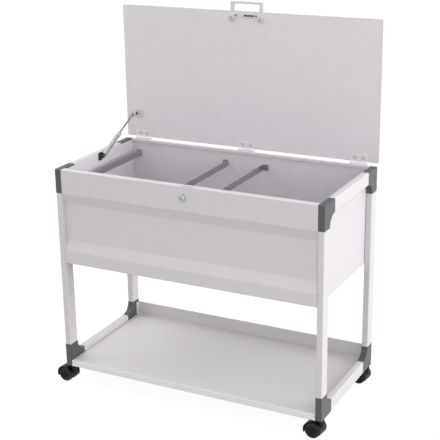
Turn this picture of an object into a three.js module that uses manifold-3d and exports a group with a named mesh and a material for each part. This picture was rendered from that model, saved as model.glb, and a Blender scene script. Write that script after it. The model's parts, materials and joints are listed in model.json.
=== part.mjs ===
// Mobile file cart: two side frames of steel tube on swivel castors carry a deep sheet-steel tub
// with a hinged, lockable lid, above an open shelf. The lid stands open on a gas strut.
// Millimetres. X runs to the right, Y to the back and Z up from the floor.
import * as THREE from 'three';
import { mergeVertices } from 'three/addons/utils/BufferGeometryUtils.js';
import Module from 'manifold-3d';

const wasm = await Module();
wasm.setup();

// Fits
const FIT = 0.3; // clearance between two parts that touch or run in each other
const CUT_MARGIN = 1; // how far a cutting tool runs past the face that it cuts

// Roundness of the facets
const ARC_STEPS = 6;
const TUBE_CORNER_STEPS = 2;
const HOOD_STEPS = 12;
const ROUND_SIDES = 20;
const WHEEL_SIDES = 24;
const PIN_SIDES = 12;

// Side frames of rectangular tube
const FRAME_WIDTH = 898; // across the outer faces of the side frames
const FRAME_DEPTH = 432; // front face to rear face of the posts
const FRAME_TOP = 731.5; // floor to the top of the upper side rails
const TUBE_WIDTH = 20;
const TUBE_DEPTH = 40;
const TUBE_WALL = 1.5;
const TUBE_CORNER = 2.5;

// Moulded corner connectors
const CORNER_REACH = 77; // length of each arm from the outer corner
const CORNER_ROUND = 3;
const SPIGOT_LENGTH = 30;
const SPIGOT_CORNER = 3;

// Twin-wheel swivel castors
const WHEEL_RADIUS = 25;
const WHEEL_WIDTH = 17;
const WHEEL_GAP = 0.8; // between a wheel and the web beside it
const TREAD_ROUND = 4;
const WHEEL_DISH = 2; // depth of the hollow in a wheel's outer face
const WHEEL_RIM = 5; // width of the raised rim round that hollow
const HUB_RADIUS = 8;
const AXLE_RADIUS = 3;
const AXLE_INSET = 1.5; // axle end below the hub face
const WEB_WIDTH = 8;
const WEB_HUB_RADIUS = 9;
const HOOD_GAP = 2;
const HOOD_WALL = 2.5;
const HOOD_WIDTH = 45;
const HOOD_FRONT_ANGLE = -10; // degrees above the axle on the pivot side, where the hood ends low
const HOOD_BACK_ANGLE = 165;
const CASTOR_NECK = 7.2; // hood top to the underside of the frame
const CASTOR_TRAIL = 20;
const CASTOR_TURN = -5; // degrees, the way the castors were left trailing
const BOSS_RADIUS = 11;
const BOSS_HEIGHT = 24;
const STEM_RADIUS = 5.5;
const STEM_LENGTH = 36;

// Sheet-steel tub between the side frames
const SHEET = 1.2;
const TUB_HEIGHT = 308;
const SIDE_NOTCH = 5; // depth of the notches in a side's top edge, beside the connectors
const RIM_FLANGE = 22;
const REAR_RIM = 5;
const RIM_LIP = 10;
const FOOT_FLANGE = 18;
const UPPER_BAND = 77;
const TOP_SLOPE = 33;
const BOTTOM_SLOPE = 34;
const LOWER_BAND = 42;
const RECESS_DEPTH = 11;

// Rails that hanging folders hook over
const HANGER_SIDE_GAP = 33.5; // from the tub's side to the outer rail of a bank
const HANGER_CAM_GAP = 14.2; // from the reach of the lock cam to the inner rail of a bank
const HANGER_DROP = 37; // below the rim
const HANGER_WIDTH = 3;
const HANGER_HEIGHT = 20;
const HANGER_TAB = 18;
const HANGER_TAB_THICK = 2;

// Open shelf
const SHELF_LIP = 22;
const SHELF_LIP_RETURN = 12;
const SHELF_SIDE = 20; // depth of the folds down beside the lower rails
const SHELF_BACK = 44;
const SHELF_TAB = 18; // ends of the rear upstand, folded forward along the rails

// Lid and its hinges
const HINGE_ABOVE = 3; // hinge axis above the rim
const HINGE_INSET = 63; // outer hinges in from the sides of the frame
const HINGE_WIDTH = 58;
const LEAF_HEIGHT = 26;
const LEAF_THICK = 1.7;
const KNUCKLE_RADIUS = 4;
const KNUCKLE_LENGTH = 25;
const PIN_RADIUS = 1.8;
const LID_EDGE_GAP = 4; // lower edge of the open lid above the hinge axis
const LID_OVERHANG = 1; // past each side of the frame
const LID_FRONT_OVERHANG = 8.7;
const LID_THICK = 18;
const LID_SHEET = 0.8;

// Pull handle on the lid's free edge
const HANDLE_WIDTH = 112;
const HANDLE_REACH = 30;
const HANDLE_LEG = 12;
const HANDLE_BAR = 7;
const HANDLE_THICK = 10;
const HANDLE_ROUND = 2;

// Buffers under the lid
const BUFFER_RADIUS = 9.5;
const BUFFER_GAP = 1; // between a buffer and the end of the catch plate
const BUFFER_INSET = 22; // from the free edge

// Cam lock and its catch
const LOCK_DROP = 35; // below the rim
const BEZEL_RADIUS = 11;
const BEZEL_PROUD = 8;
const BEZEL_ROUND = 2;
const SHANK_RADIUS = 9;
const PLUG_RADIUS = 6.5;
const PLUG_PROUD = 0.6;
const KEYWAY_WIDTH = 2;
const KEYWAY_HEIGHT = 8;
const KEYWAY_DEPTH = 5;
const CAM_GAP = 1; // between the panel and the cam
const CAM_THICK = 2.5;
const CAM_WIDTH = 10;
const CAM_NOSE = 8;
const CAM_NOSE_DEPTH = 5.3;
const CAM_NOSE_OVER = 0.7; // nose above the lid's inner face when the lock is shut
const CATCH_END = 10; // plate past the end of its slot
const CATCH_HEIGHT = 12;
const CATCH_THICK = 2;
const CATCH_SLOT_HEIGHT = 6;
const SLOT_MARGIN = 1.5;

// Gas strut on the left, from the tub's side to the lid
const STRUT_TUB_Y = 9; // lower pivot behind the middle of the frame
const STRUT_TUB_DROP = 13; // lower pivot below the rim
const STRUT_LID_OUT = 14; // upper pivot in front of the hinge axis
const STRUT_LID_UP = 83; // upper pivot above the hinge axis
const STRUT_TUBE_RADIUS = 7.5;
const STRUT_ROD_RADIUS = 3;
const STRUT_SIDE_GAP = 3; // between the tube and the tub's side
const STRUT_EYE_RADIUS = 4.8;
const STRUT_EYE_WIDTH = 8;
const STRUT_PIN_RADIUS = 2.5;
const STRUT_TUBE_START = 9;
const STRUT_END_ROOM = 3;
const STRUT_ROD_HELD = 8; // rod left inside the tube when it is pulled out
const STRUT_FLOOR = 3; // closed end of the tube
const BRACKET_WIDTH = 22;
const BRACKET_HEIGHT = 26;
const BRACKET_THICK = 2;
const BRACKET_BOSS_RADIUS = 5;

// Places worked out from the sizes
const HALF_WIDTH = FRAME_WIDTH / 2;
const HALF_DEPTH = FRAME_DEPTH / 2;
const POST_X = HALF_WIDTH - TUBE_WIDTH / 2;
const POST_Y = HALF_DEPTH - TUBE_DEPTH / 2;
const AXLE_HEIGHT = WHEEL_RADIUS * Math.cos(Math.PI / WHEEL_SIDES);
const HOOD_INNER = WHEEL_RADIUS + HOOD_GAP;
const HOOD_OUTER = HOOD_INNER + HOOD_WALL;
const FRAME_BOTTOM = AXLE_HEIGHT + HOOD_OUTER + CASTOR_NECK;
const TUB_BOTTOM = FRAME_TOP - TUB_HEIGHT;
const PANEL_HALF = HALF_WIDTH - TUBE_WIDTH - FIT;
const TUB_INNER_HALF = PANEL_HALF - SHEET;
const FLANGE_HALF = TUB_INNER_HALF - FIT;
const WALL_Y = HALF_DEPTH - SHEET;
const SHELF_TOP = FRAME_BOTTOM + SHELF_LIP;
const KNUCKLE_ROOM = KNUCKLE_RADIUS + FIT;
const HINGE_Y = HALF_DEPTH + KNUCKLE_ROOM;
const HINGE_Z = FRAME_TOP + HINGE_ABOVE;
const LID_SETBACK = KNUCKLE_ROOM; // inner face of the lid behind the hinge axis
const LID_HALF = HALF_WIDTH + LID_OVERHANG;
const LID_TOP = HINGE_Y + HALF_DEPTH + LID_FRONT_OVERHANG;
const LOCK_Z = FRAME_TOP - LOCK_DROP;
const CAM_NOSE_LOW = LOCK_DROP + HINGE_ABOVE + LID_SETBACK + CAM_NOSE_OVER; // along the cam
const CAM_REACH = CAM_NOSE_LOW + CAM_NOSE_DEPTH;
const CAM_FRONT = -WALL_Y + CAM_GAP;
const CAM_Y = CAM_FRONT + CAM_THICK / 2;
const CATCH_Z = HINGE_Y - CAM_Y;

// Finishes
const paint = () => new THREE.MeshStandardMaterial({ color: 0xcbc7cb, roughness: 0.5, metalness: 0 });
const darkPlastic = () => new THREE.MeshStandardMaterial({ color: 0x5b5c5e, roughness: 0.6, metalness: 0 });
const blackPlastic = () => new THREE.MeshStandardMaterial({ color: 0x222224, roughness: 0.45, metalness: 0 });
const tread = () => new THREE.MeshStandardMaterial({ color: 0x2c2c2e, roughness: 0.7, metalness: 0 });
const steel = () => new THREE.MeshStandardMaterial({ color: 0xb9bbbd, roughness: 0.35, metalness: 1 });
const chrome = () => new THREE.MeshStandardMaterial({ color: 0xd8dadc, roughness: 0.12, metalness: 1 });
const greyPlastic = () => new THREE.MeshStandardMaterial({ color: 0xc9cacc, roughness: 0.5, metalness: 0 });

// Solids

/** Turns a closed geometry into a solid that can be joined and cut. */
function toSolid(geometry) {
  const bare = geometry.clone();
  bare.deleteAttribute('normal');
  bare.deleteAttribute('uv');
  const merged = mergeVertices(bare);
  const mesh = new wasm.Mesh({
    numProp: 3,
    vertProperties: new Float32Array(merged.attributes.position.array),
    triVerts: new Uint32Array(merged.index.array),
  });
  return new wasm.Manifold(mesh);
}

/** Turns a solid back into a geometry. */
function toGeometry(solid) {
  const mesh = solid.getMesh();
  const geometry = new THREE.BufferGeometry();
  geometry.setAttribute('position', new THREE.BufferAttribute(mesh.vertProperties, 3));
  geometry.setIndex(new THREE.BufferAttribute(mesh.triVerts, 1));
  geometry.computeVertexNormals();
  return geometry;
}

/** Joins geometries into one. */
function join(...pieces) {
  return toGeometry(pieces.map(toSolid).reduce((whole, piece) => whole.add(piece)));
}

/** Cuts tools out of a geometry. */
function cut(base, ...tools) {
  return toGeometry(tools.map(toSolid).reduce((rest, tool) => rest.subtract(tool), toSolid(base)));
}

/** A box between two values on each axis. */
function block([x0, x1], [y0, y1], [z0, z1]) {
  const geometry = new THREE.BoxGeometry(x1 - x0, y1 - y0, z1 - z0);
  geometry.translate((x0 + x1) / 2, (y0 + y1) / 2, (z0 + z1) / 2);
  return geometry;
}

/** A round bar along x, y or z between two values on that axis. */
function bar(axis, radius, from, to, sides = ROUND_SIDES) {
  const geometry = new THREE.CylinderGeometry(radius, radius, to - from, sides);
  geometry.translate(0, (from + to) / 2, 0);
  if (axis === 'x') geometry.rotateZ(-Math.PI / 2);
  if (axis === 'z') geometry.rotateX(Math.PI / 2);
  return geometry;
}

/** A closed profile of [radius, y] points turned round the Y axis. */
function turned(profile, sides) {
  const points = [...profile, profile[0]].map(([radius, y]) => new THREE.Vector2(radius, y));
  return new THREE.LatheGeometry(points, sides, Math.PI / sides);
}

/** A flat outline drawn out along Z. */
function drawnOut(outline, length, steps = ARC_STEPS) {
  return new THREE.ExtrudeGeometry(outline, { depth: length, bevelEnabled: false, curveSegments: steps });
}

/** An outline in Y and Z drawn out along X, to the same length on both sides of the origin. */
function drawnAcross(outline, length) {
  const geometry = drawnOut(outline, length);
  geometry.translate(0, 0, -length / 2);
  geometry.rotateX(Math.PI / 2);
  geometry.rotateZ(Math.PI / 2);
  return geometry;
}

/** A rectangle with round corners, about the origin. */
function roundedRectangle(path, width, height, radius) {
  const x = width / 2 - radius;
  const y = height / 2 - radius;
  path.absarc(x, y, radius, 0, Math.PI / 2);
  path.absarc(-x, y, radius, Math.PI / 2, Math.PI);
  path.absarc(-x, -y, radius, Math.PI, 1.5 * Math.PI);
  path.absarc(x, -y, radius, 1.5 * Math.PI, 2 * Math.PI);
  return path;
}

const cart = new THREE.Group();
cart.name = 'file_cart';

/** Adds a named part to a group. */
function addPart(parent, name, geometry, material) {
  const mesh = new THREE.Mesh(geometry, material);
  mesh.name = name;
  parent.add(mesh);
  return mesh;
}

const SIDES = [['left', -1], ['right', 1]];
const ENDS = [['front', -1], ['rear', 1]];

// Side frames

/** A rectangular tube standing along Z, open at both ends. */
function tube(length) {
  const inner = TUBE_WALL * 2;
  const section = roundedRectangle(new THREE.Shape(), TUBE_WIDTH, TUBE_DEPTH, TUBE_CORNER);
  const bore = new THREE.Path();
  const boreCorner = TUBE_CORNER - TUBE_WALL;
  section.holes.push(roundedRectangle(bore, TUBE_WIDTH - inner, TUBE_DEPTH - inner, boreCorner));
  const geometry = drawnOut(section, length, TUBE_CORNER_STEPS);
  geometry.translate(0, 0, -length / 2);
  return geometry;
}

/** The L-shaped side view of a corner connector, with its outer corner at the origin. */
function cornerOutline() {
  const outline = new THREE.Shape();
  outline.moveTo(CORNER_ROUND, 0);
  outline.lineTo(CORNER_REACH, 0);
  outline.lineTo(CORNER_REACH, TUBE_DEPTH);
  outline.absarc(CORNER_REACH, CORNER_REACH, CORNER_REACH - TUBE_DEPTH, 1.5 * Math.PI, Math.PI, true);
  outline.lineTo(0, CORNER_REACH);
  outline.lineTo(0, CORNER_ROUND);
  outline.absarc(CORNER_ROUND, CORNER_ROUND, CORNER_ROUND, Math.PI, 1.5 * Math.PI);
  return outline;
}

/** A plug that fills a tube's end, standing along Z from the connector's shoulder. */
function spigot() {
  const slack = 2 * (TUBE_WALL + FIT);
  const outline = roundedRectangle(new THREE.Shape(), TUBE_WIDTH - slack, TUBE_DEPTH - slack, SPIGOT_CORNER);
  const geometry = drawnOut(outline, SPIGOT_LENGTH + CUT_MARGIN, TUBE_CORNER_STEPS);
  geometry.translate(0, 0, CORNER_REACH - CUT_MARGIN);
  return geometry;
}

/** A corner connector with its rail arm along +Y and its post arm along +Z. */
function cornerConnector(hasSocket) {
  const body = drawnAcross(cornerOutline(), TUBE_WIDTH);
  const postSpigot = spigot();
  postSpigot.translate(0, TUBE_DEPTH / 2, 0);
  const railSpigot = spigot();
  railSpigot.rotateX(-Math.PI / 2);
  railSpigot.translate(0, 0, TUBE_DEPTH / 2);
  const whole = join(body, postSpigot, railSpigot);
  if (!hasSocket) return whole;
  const socket = bar('z', STEM_RADIUS + FIT, -CUT_MARGIN, STEM_LENGTH + FIT, PIN_SIDES);
  socket.translate(0, TUBE_DEPTH / 2, 0);
  return cut(whole, socket);
}

function addSideFrames() {
  const postLength = FRAME_TOP - FRAME_BOTTOM - 2 * (CORNER_REACH + FIT);
  const railLength = FRAME_DEPTH - 2 * (CORNER_REACH + FIT);
  const levels = [['top', FRAME_TOP, -1], ['bottom', FRAME_BOTTOM, 1]];
  for (const [side, sx] of SIDES) {
    for (const [end, sy] of ENDS) {
      const post = addPart(cart, `post_${end}_${side}`, tube(postLength), paint());
      post.position.set(sx * POST_X, sy * POST_Y, (FRAME_TOP + FRAME_BOTTOM) / 2);
    }
    for (const [level, z, up] of levels) {
      const rail = addPart(cart, `rail_${level}_${side}`, tube(railLength), paint());
      rail.rotation.x = -Math.PI / 2;
      rail.position.set(sx * POST_X, 0, z + (up * TUBE_DEPTH) / 2);
      for (const [end, sy] of ENDS) {
        const geometry = cornerConnector(level === 'bottom');
        if (sy > 0) geometry.rotateZ(Math.PI);
        if (up < 0) geometry.rotateY(Math.PI);
        const corner = addPart(cart, `corner_${level}_${end}_${side}`, geometry, darkPlastic());
        corner.position.set(sx * POST_X, sy * HALF_DEPTH, z);
      }
    }
  }
}

// Tub

/** The pressed recess of the front panel as a tapered block across it, between two depths behind the face. */
function recessBlock(half, from, to, shift) {
  const geometry = new THREE.BoxGeometry(2 * half, 1, 1);
  const place = geometry.attributes.position;
  for (let i = 0; i < place.count; i += 1) {
    const depth = place.getY(i) < 0 ? from : to;
    const share = depth / RECESS_DEPTH;
    const low = TUB_BOTTOM + LOWER_BAND + BOTTOM_SLOPE * share;
    const high = FRAME_TOP - UPPER_BAND - TOP_SLOPE * share;
    place.setY(i, -HALF_DEPTH + depth + shift);
    place.setZ(i, place.getZ(i) < 0 ? low : high);
  }
  return geometry;
}

/** A flat wall panel with a folded rim of some depth and a foot, its outer face on the front of the frame. */
function wallPanel(rim) {
  const face = -HALF_DEPTH;
  const span = [-FLANGE_HALF, FLANGE_HALF];
  return join(
    block([-PANEL_HALF, PANEL_HALF], [face, -WALL_Y], [TUB_BOTTOM, FRAME_TOP]),
    block(span, [face, face + rim], [FRAME_TOP - SHEET, FRAME_TOP]),
    block(span, [face + rim - SHEET, face + rim], [FRAME_TOP - RIM_LIP, FRAME_TOP]),
    block(span, [face, face + FOOT_FLANGE], [TUB_BOTTOM, TUB_BOTTOM + SHEET]),
  );
}

/** Where the lock cam crosses a level as it swings up, measured from the lock's axis. */
function camCrossing(level) {
  const corner = Math.hypot(CAM_REACH, CAM_WIDTH / 2);
  return Math.sqrt(Math.max(corner ** 2 - level ** 2, 0));
}

function frontPanel() {
  const dished = cut(
    join(wallPanel(RIM_FLANGE), recessBlock(FLANGE_HALF, 0, RECESS_DEPTH, SHEET)),
    recessBlock(PANEL_HALF + CUT_MARGIN, -CUT_MARGIN, RECESS_DEPTH, 0),
  );
  const lockHole = bar('y', SHANK_RADIUS + FIT, -HALF_DEPTH - CUT_MARGIN, -WALL_Y + CUT_MARGIN);
  lockHole.translate(0, 0, LOCK_Z);
  const camSlot = block(
    [-CAM_WIDTH / 2 - SLOT_MARGIN, camCrossing(LOCK_DROP - SHEET) + SLOT_MARGIN],
    [CAM_FRONT - CAM_GAP / 2, CAM_FRONT + CAM_THICK + SLOT_MARGIN],
    [FRAME_TOP - SHEET - CUT_MARGIN, FRAME_TOP + CUT_MARGIN],
  );
  return cut(dished, lockHole, camSlot);
}

function rearPanel() {
  const geometry = wallPanel(REAR_RIM);
  geometry.rotateZ(Math.PI);
  return geometry;
}

/** A hanging rail on edge with a tab bent outwards at each end. */
function hangingRail(side) {
  const end = WALL_Y - FIT;
  const height = [-HANGER_HEIGHT, 0];
  const tab = [-HANGER_WIDTH / 2, HANGER_TAB];
  const rail = join(
    block([-HANGER_WIDTH / 2, HANGER_WIDTH / 2], [-end, end], height),
    block(tab, [-end, -end + HANGER_TAB_THICK], height),
    block(tab, [end - HANGER_TAB_THICK, end], height),
  );
  if (side < 0) rail.rotateZ(Math.PI);
  return rail;
}

/** One side of the tub, notched at its upper corners beside the connectors. */
function tubSide() {
  const end = WALL_Y - FIT;
  const notchStart = HALF_DEPTH - CORNER_REACH;
  const notchRise = [FRAME_TOP - SIDE_NOTCH, FRAME_TOP + CUT_MARGIN];
  return cut(
    block([-SHEET / 2, SHEET / 2], [-end, end], [TUB_BOTTOM, FRAME_TOP]),
    block([-SHEET, SHEET], [notchStart, HALF_DEPTH], notchRise),
    block([-SHEET, SHEET], [-HALF_DEPTH, -notchStart], notchRise),
  );
}

function addTub() {
  addPart(cart, 'tub_front', frontPanel(), paint());
  addPart(cart, 'tub_rear', rearPanel(), paint());
  const floorLevel = TUB_BOTTOM + SHEET + FIT;
  const between = [-WALL_Y + FIT, WALL_Y - FIT];
  const floor = block([-FLANGE_HALF, FLANGE_HALF], between, [floorLevel, floorLevel + SHEET]);
  addPart(cart, 'tub_floor', floor, paint());
  const innerRail = CAM_REACH + HANGER_CAM_GAP + HANGER_WIDTH / 2;
  const banks = [['inner', innerRail], ['outer', TUB_INNER_HALF - HANGER_SIDE_GAP]];
  for (const [side, sx] of SIDES) {
    addPart(cart, `tub_side_${side}`, tubSide(), paint()).position.x = sx * (PANEL_HALF - SHEET / 2);
    for (const [place, x] of banks) {
      const rail = addPart(cart, `hanging_rail_${side}_${place}`, hangingRail(sx), steel());
      rail.position.set(sx * x, 0, FRAME_TOP - HANGER_DROP);
    }
  }
}

/** The shelf's fold from front lip to rear upstand, in Y and Z. */
function shelfFold() {
  const under = SHELF_TOP - SHEET;
  const lipEnd = -HALF_DEPTH + SHELF_LIP_RETURN;
  const backTop = SHELF_TOP + SHELF_BACK;
  const corners = [
    [-HALF_DEPTH, FRAME_BOTTOM],
    [lipEnd, FRAME_BOTTOM],
    [lipEnd, FRAME_BOTTOM + SHEET],
    [-WALL_Y, FRAME_BOTTOM + SHEET],
    [-WALL_Y, under],
    [HALF_DEPTH, under],
    [HALF_DEPTH, backTop],
    [WALL_Y, backTop],
    [WALL_Y, SHELF_TOP],
    [-HALF_DEPTH, SHELF_TOP],
  ];
  return new THREE.Shape(corners.map(([y, z]) => new THREE.Vector2(y, z)));
}

function addShelf() {
  const pieces = [drawnAcross(shelfFold(), 2 * PANEL_HALF)];
  for (const [, sx] of SIDES) {
    const edge = [sx * PANEL_HALF, sx * TUB_INNER_HALF].sort((a, b) => a - b);
    pieces.push(block(edge, [-WALL_Y, WALL_Y], [SHELF_TOP - SHELF_SIDE, SHELF_TOP]));
    pieces.push(block(edge, [HALF_DEPTH - SHELF_TAB, HALF_DEPTH], [SHELF_TOP - SHEET, SHELF_TOP + SHELF_BACK]));
  }
  addPart(cart, 'shelf', join(...pieces), paint());
}

// Lid, drawn about the hinge axis as it stands open

const lid = new THREE.Group();
lid.name = 'lid';
lid.position.set(0, HINGE_Y, HINGE_Z);
cart.add(lid);

function lidPan() {
  const shell = block([-LID_HALF, LID_HALF], [LID_SETBACK, LID_SETBACK + LID_THICK], [LID_EDGE_GAP, LID_TOP]);
  const hollow = block(
    [-LID_HALF + LID_SHEET, LID_HALF - LID_SHEET],
    [LID_SETBACK - CUT_MARGIN, LID_SETBACK + LID_THICK - LID_SHEET],
    [LID_EDGE_GAP + LID_SHEET, LID_TOP - LID_SHEET],
  );
  return cut(shell, hollow);
}

/** The flat inner skin of the lid, with a window for the nose of the lock cam. */
function lidLiner() {
  const half = LID_HALF - LID_SHEET - FIT;
  const low = LID_EDGE_GAP + LID_SHEET + FIT;
  const high = LID_TOP - LID_SHEET - FIT;
  const skin = block([-half, half], [LID_SETBACK, LID_SETBACK + LID_SHEET], [low, high]);
  const window = block(
    [-CAM_WIDTH / 2 - CAM_NOSE - SLOT_MARGIN, catchSlotEnd()],
    [LID_SETBACK - CUT_MARGIN, LID_SETBACK + LID_SHEET + CUT_MARGIN],
    [CATCH_Z - CATCH_SLOT_HEIGHT / 2, CATCH_Z + CATCH_SLOT_HEIGHT / 2],
  );
  return cut(skin, window);
}

/** Right-hand end of the catch slot, where the tip of the cam swings in. */
function catchSlotEnd() {
  const plateUnder = LOCK_DROP + HINGE_ABOVE + LID_SETBACK - FIT - CATCH_THICK;
  return camCrossing(plateUnder) + SLOT_MARGIN;
}

/** Half the length of the catch plate. */
function catchHalf() {
  return catchSlotEnd() + CATCH_END;
}

function catchPlate() {
  const half = catchHalf();
  const back = LID_SETBACK - FIT;
  const plate = block(
    [-half, half],
    [back - CATCH_THICK, back],
    [CATCH_Z - CATCH_HEIGHT / 2, CATCH_Z + CATCH_HEIGHT / 2],
  );
  const slot = block(
    [-CAM_WIDTH / 2 - SLOT_MARGIN, catchSlotEnd()],
    [back - CATCH_THICK - CUT_MARGIN, back + CUT_MARGIN],
    [CATCH_Z - CATCH_SLOT_HEIGHT / 2, CATCH_Z + CATCH_SLOT_HEIGHT / 2],
  );
  return cut(plate, slot);
}

/** A U-shaped pull whose legs stand on the lid's free edge. */
function pullHandle() {
  const foot = LID_TOP + FIT;
  const half = HANDLE_WIDTH / 2;
  const top = foot + HANDLE_REACH;
  const outline = new THREE.Shape();
  outline.moveTo(half, foot);
  outline.lineTo(half, top - HANDLE_ROUND);
  outline.absarc(half - HANDLE_ROUND, top - HANDLE_ROUND, HANDLE_ROUND, 0, Math.PI / 2);
  outline.absarc(-half + HANDLE_ROUND, top - HANDLE_ROUND, HANDLE_ROUND, Math.PI / 2, Math.PI);
  outline.lineTo(-half, foot);
  outline.lineTo(-half + HANDLE_LEG, foot);
  outline.lineTo(-half + HANDLE_LEG, top - HANDLE_BAR);
  outline.lineTo(half - HANDLE_LEG, top - HANDLE_BAR);
  outline.lineTo(half - HANDLE_LEG, foot);
  const geometry = drawnOut(outline, HANDLE_THICK);
  geometry.translate(0, 0, -LID_SETBACK - (LID_THICK + HANDLE_THICK) / 2);
  geometry.rotateX(Math.PI / 2);
  return geometry;
}

/** A rubber buffer that stops the lid just clear of the front rim. */
function lidBuffer() {
  const seat = LID_SETBACK - FIT;
  const height = HINGE_ABOVE + LID_SETBACK - 2 * FIT;
  return bar('y', BUFFER_RADIUS, seat - height, seat);
}

/** The leaf on the lid: a plate with the middle knuckle, bored for the pin. */
function lidLeaf() {
  const back = LID_SETBACK - FIT;
  const half = HINGE_WIDTH / 2;
  const knuckle = KNUCKLE_LENGTH / 2;
  const whole = join(
    block([-half, half], [back - LEAF_THICK, back], [KNUCKLE_ROOM, LEAF_HEIGHT]),
    block([-knuckle, knuckle], [back - LEAF_THICK, back], [0, KNUCKLE_ROOM + CUT_MARGIN]),
    bar('x', KNUCKLE_RADIUS, -knuckle, knuckle, PIN_SIDES),
  );
  return cut(whole, bar('x', PIN_RADIUS + FIT, -knuckle - CUT_MARGIN, knuckle + CUT_MARGIN, PIN_SIDES));
}

/** The leaf on the rear panel: a plate with the two outer knuckles and the pin between them. */
function rimLeaf() {
  const plate = [-KNUCKLE_RADIUS, LEAF_THICK - KNUCKLE_RADIUS];
  const half = HINGE_WIDTH / 2;
  const inner = KNUCKLE_LENGTH / 2 + FIT;
  const pieces = [
    block([-half, half], plate, [-LEAF_HEIGHT, -KNUCKLE_ROOM]),
    bar('x', PIN_RADIUS, -half, half, PIN_SIDES),
  ];
  for (const [, sx] of SIDES) {
    const span = [sx * inner, sx * half].sort((a, b) => a - b);
    pieces.push(block(span, plate, [-KNUCKLE_ROOM - CUT_MARGIN, 0]));
    pieces.push(bar('x', KNUCKLE_RADIUS, span[0], span[1], PIN_SIDES));
  }
  return join(...pieces);
}

function addLid() {
  addPart(lid, 'lid_pan', lidPan(), paint());
  addPart(lid, 'lid_liner', lidLiner(), paint());
  addPart(lid, 'lid_handle', pullHandle(), greyPlastic());
  addPart(lid, 'catch_plate', catchPlate(), steel());
  for (const [side, sx] of SIDES) {
    const buffer = addPart(lid, `lid_buffer_${side}`, lidBuffer(), greyPlastic());
    const out = catchHalf() + BUFFER_GAP + BUFFER_RADIUS;
    buffer.position.set(sx * out, 0, LID_TOP - BUFFER_INSET);
  }
  const hinges = [['left', -1], ['middle', 0], ['right', 1]];
  for (const [place, sx] of hinges) {
    const x = sx * (HALF_WIDTH - HINGE_INSET);
    addPart(lid, `hinge_lid_leaf_${place}`, lidLeaf(), steel()).position.x = x;
    addPart(cart, `hinge_rim_leaf_${place}`, rimLeaf(), steel()).position.set(x, HINGE_Y, HINGE_Z);
  }
}

// Lock

/** The fixed barrel: a bezel on the face of the panel and a shank through it. */
function lockBarrel() {
  const seat = -HALF_DEPTH - FIT;
  const front = seat - BEZEL_PROUD;
  const bore = PLUG_RADIUS + FIT;
  return turned([
    [bore, front],
    [BEZEL_RADIUS - BEZEL_ROUND, front],
    [BEZEL_RADIUS, front + BEZEL_ROUND],
    [BEZEL_RADIUS, seat],
    [SHANK_RADIUS, seat],
    [SHANK_RADIUS, -WALL_Y],
    [bore, -WALL_Y],
  ], ROUND_SIDES);
}

/** The plug that a key turns, with its cam behind the panel pointing right. */
function lockPlug() {
  const front = -HALF_DEPTH - FIT - BEZEL_PROUD - PLUG_PROUD;
  const camBack = CAM_FRONT + CAM_THICK;
  const whole = join(
    bar('y', PLUG_RADIUS, front, camBack),
    block([0, CAM_REACH], [CAM_FRONT, camBack], [-CAM_WIDTH / 2, CAM_WIDTH / 2]),
    block([CAM_NOSE_LOW, CAM_REACH], [CAM_FRONT, camBack], [0, CAM_WIDTH / 2 + CAM_NOSE]),
  );
  const keyway = block(
    [-KEYWAY_WIDTH / 2, KEYWAY_WIDTH / 2],
    [front - CUT_MARGIN, front + KEYWAY_DEPTH],
    [-KEYWAY_HEIGHT / 2, KEYWAY_HEIGHT / 2],
  );
  return cut(whole, keyway);
}

function addLock() {
  addPart(cart, 'lock_barrel', lockBarrel(), chrome()).position.z = LOCK_Z;
  addPart(cart, 'lock_plug', lockPlug(), chrome()).position.z = LOCK_Z;
}

// Gas strut, drawn along +Y from its lower pivot

const STRUT_X = -TUB_INNER_HALF + STRUT_SIDE_GAP + STRUT_TUBE_RADIUS;
const STRUT_TUB_Z = FRAME_TOP - STRUT_TUB_DROP;
const STRUT_RUN_OPEN = HINGE_Y - STRUT_LID_OUT - STRUT_TUB_Y;
const STRUT_RISE_OPEN = HINGE_Z + STRUT_LID_UP - STRUT_TUB_Z;
const STRUT_OPEN = Math.hypot(STRUT_RUN_OPEN, STRUT_RISE_OPEN);
const STRUT_SHUT = Math.hypot(HINGE_Y - STRUT_LID_UP - STRUT_TUB_Y, HINGE_Z - STRUT_LID_OUT - STRUT_TUB_Z);
const STRUT_TUBE_END = STRUT_SHUT - STRUT_EYE_RADIUS - STRUT_END_ROOM;
const EYE_HALF = STRUT_EYE_WIDTH / 2;
const EAR_X = EYE_HALF + BRACKET_THICK + FIT;

/** The pressure tube with the eye that turns on the tub's bracket. */
function strutTube() {
  const boreStart = STRUT_TUBE_START + STRUT_FLOOR;
  const whole = join(
    bar('y', STRUT_TUBE_RADIUS, STRUT_TUBE_START, STRUT_TUBE_END),
    bar('y', STRUT_ROD_RADIUS, 0, STRUT_TUBE_START + CUT_MARGIN, PIN_SIDES),
    bar('x', STRUT_EYE_RADIUS, -EYE_HALF, EYE_HALF, PIN_SIDES),
  );
  return cut(
    whole,
    bar('y', STRUT_ROD_RADIUS + FIT, boreStart, STRUT_TUBE_END + CUT_MARGIN, PIN_SIDES),
    bar('x', STRUT_PIN_RADIUS + FIT, -EYE_HALF - CUT_MARGIN, EYE_HALF + CUT_MARGIN, PIN_SIDES),
  );
}

/** The rod with its eye and the pivot pin that meets the lid's bracket. */
function strutRod() {
  return join(
    bar('y', STRUT_ROD_RADIUS, STRUT_TUBE_END - STRUT_ROD_HELD, STRUT_OPEN, PIN_SIDES),
    bar('x', STRUT_EYE_RADIUS, -EYE_HALF, EYE_HALF, PIN_SIDES).translate(0, STRUT_OPEN, 0),
    bar('x', STRUT_PIN_RADIUS, 0, EAR_X - FIT, PIN_SIDES).translate(0, STRUT_OPEN, 0),
  );
}

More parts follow.
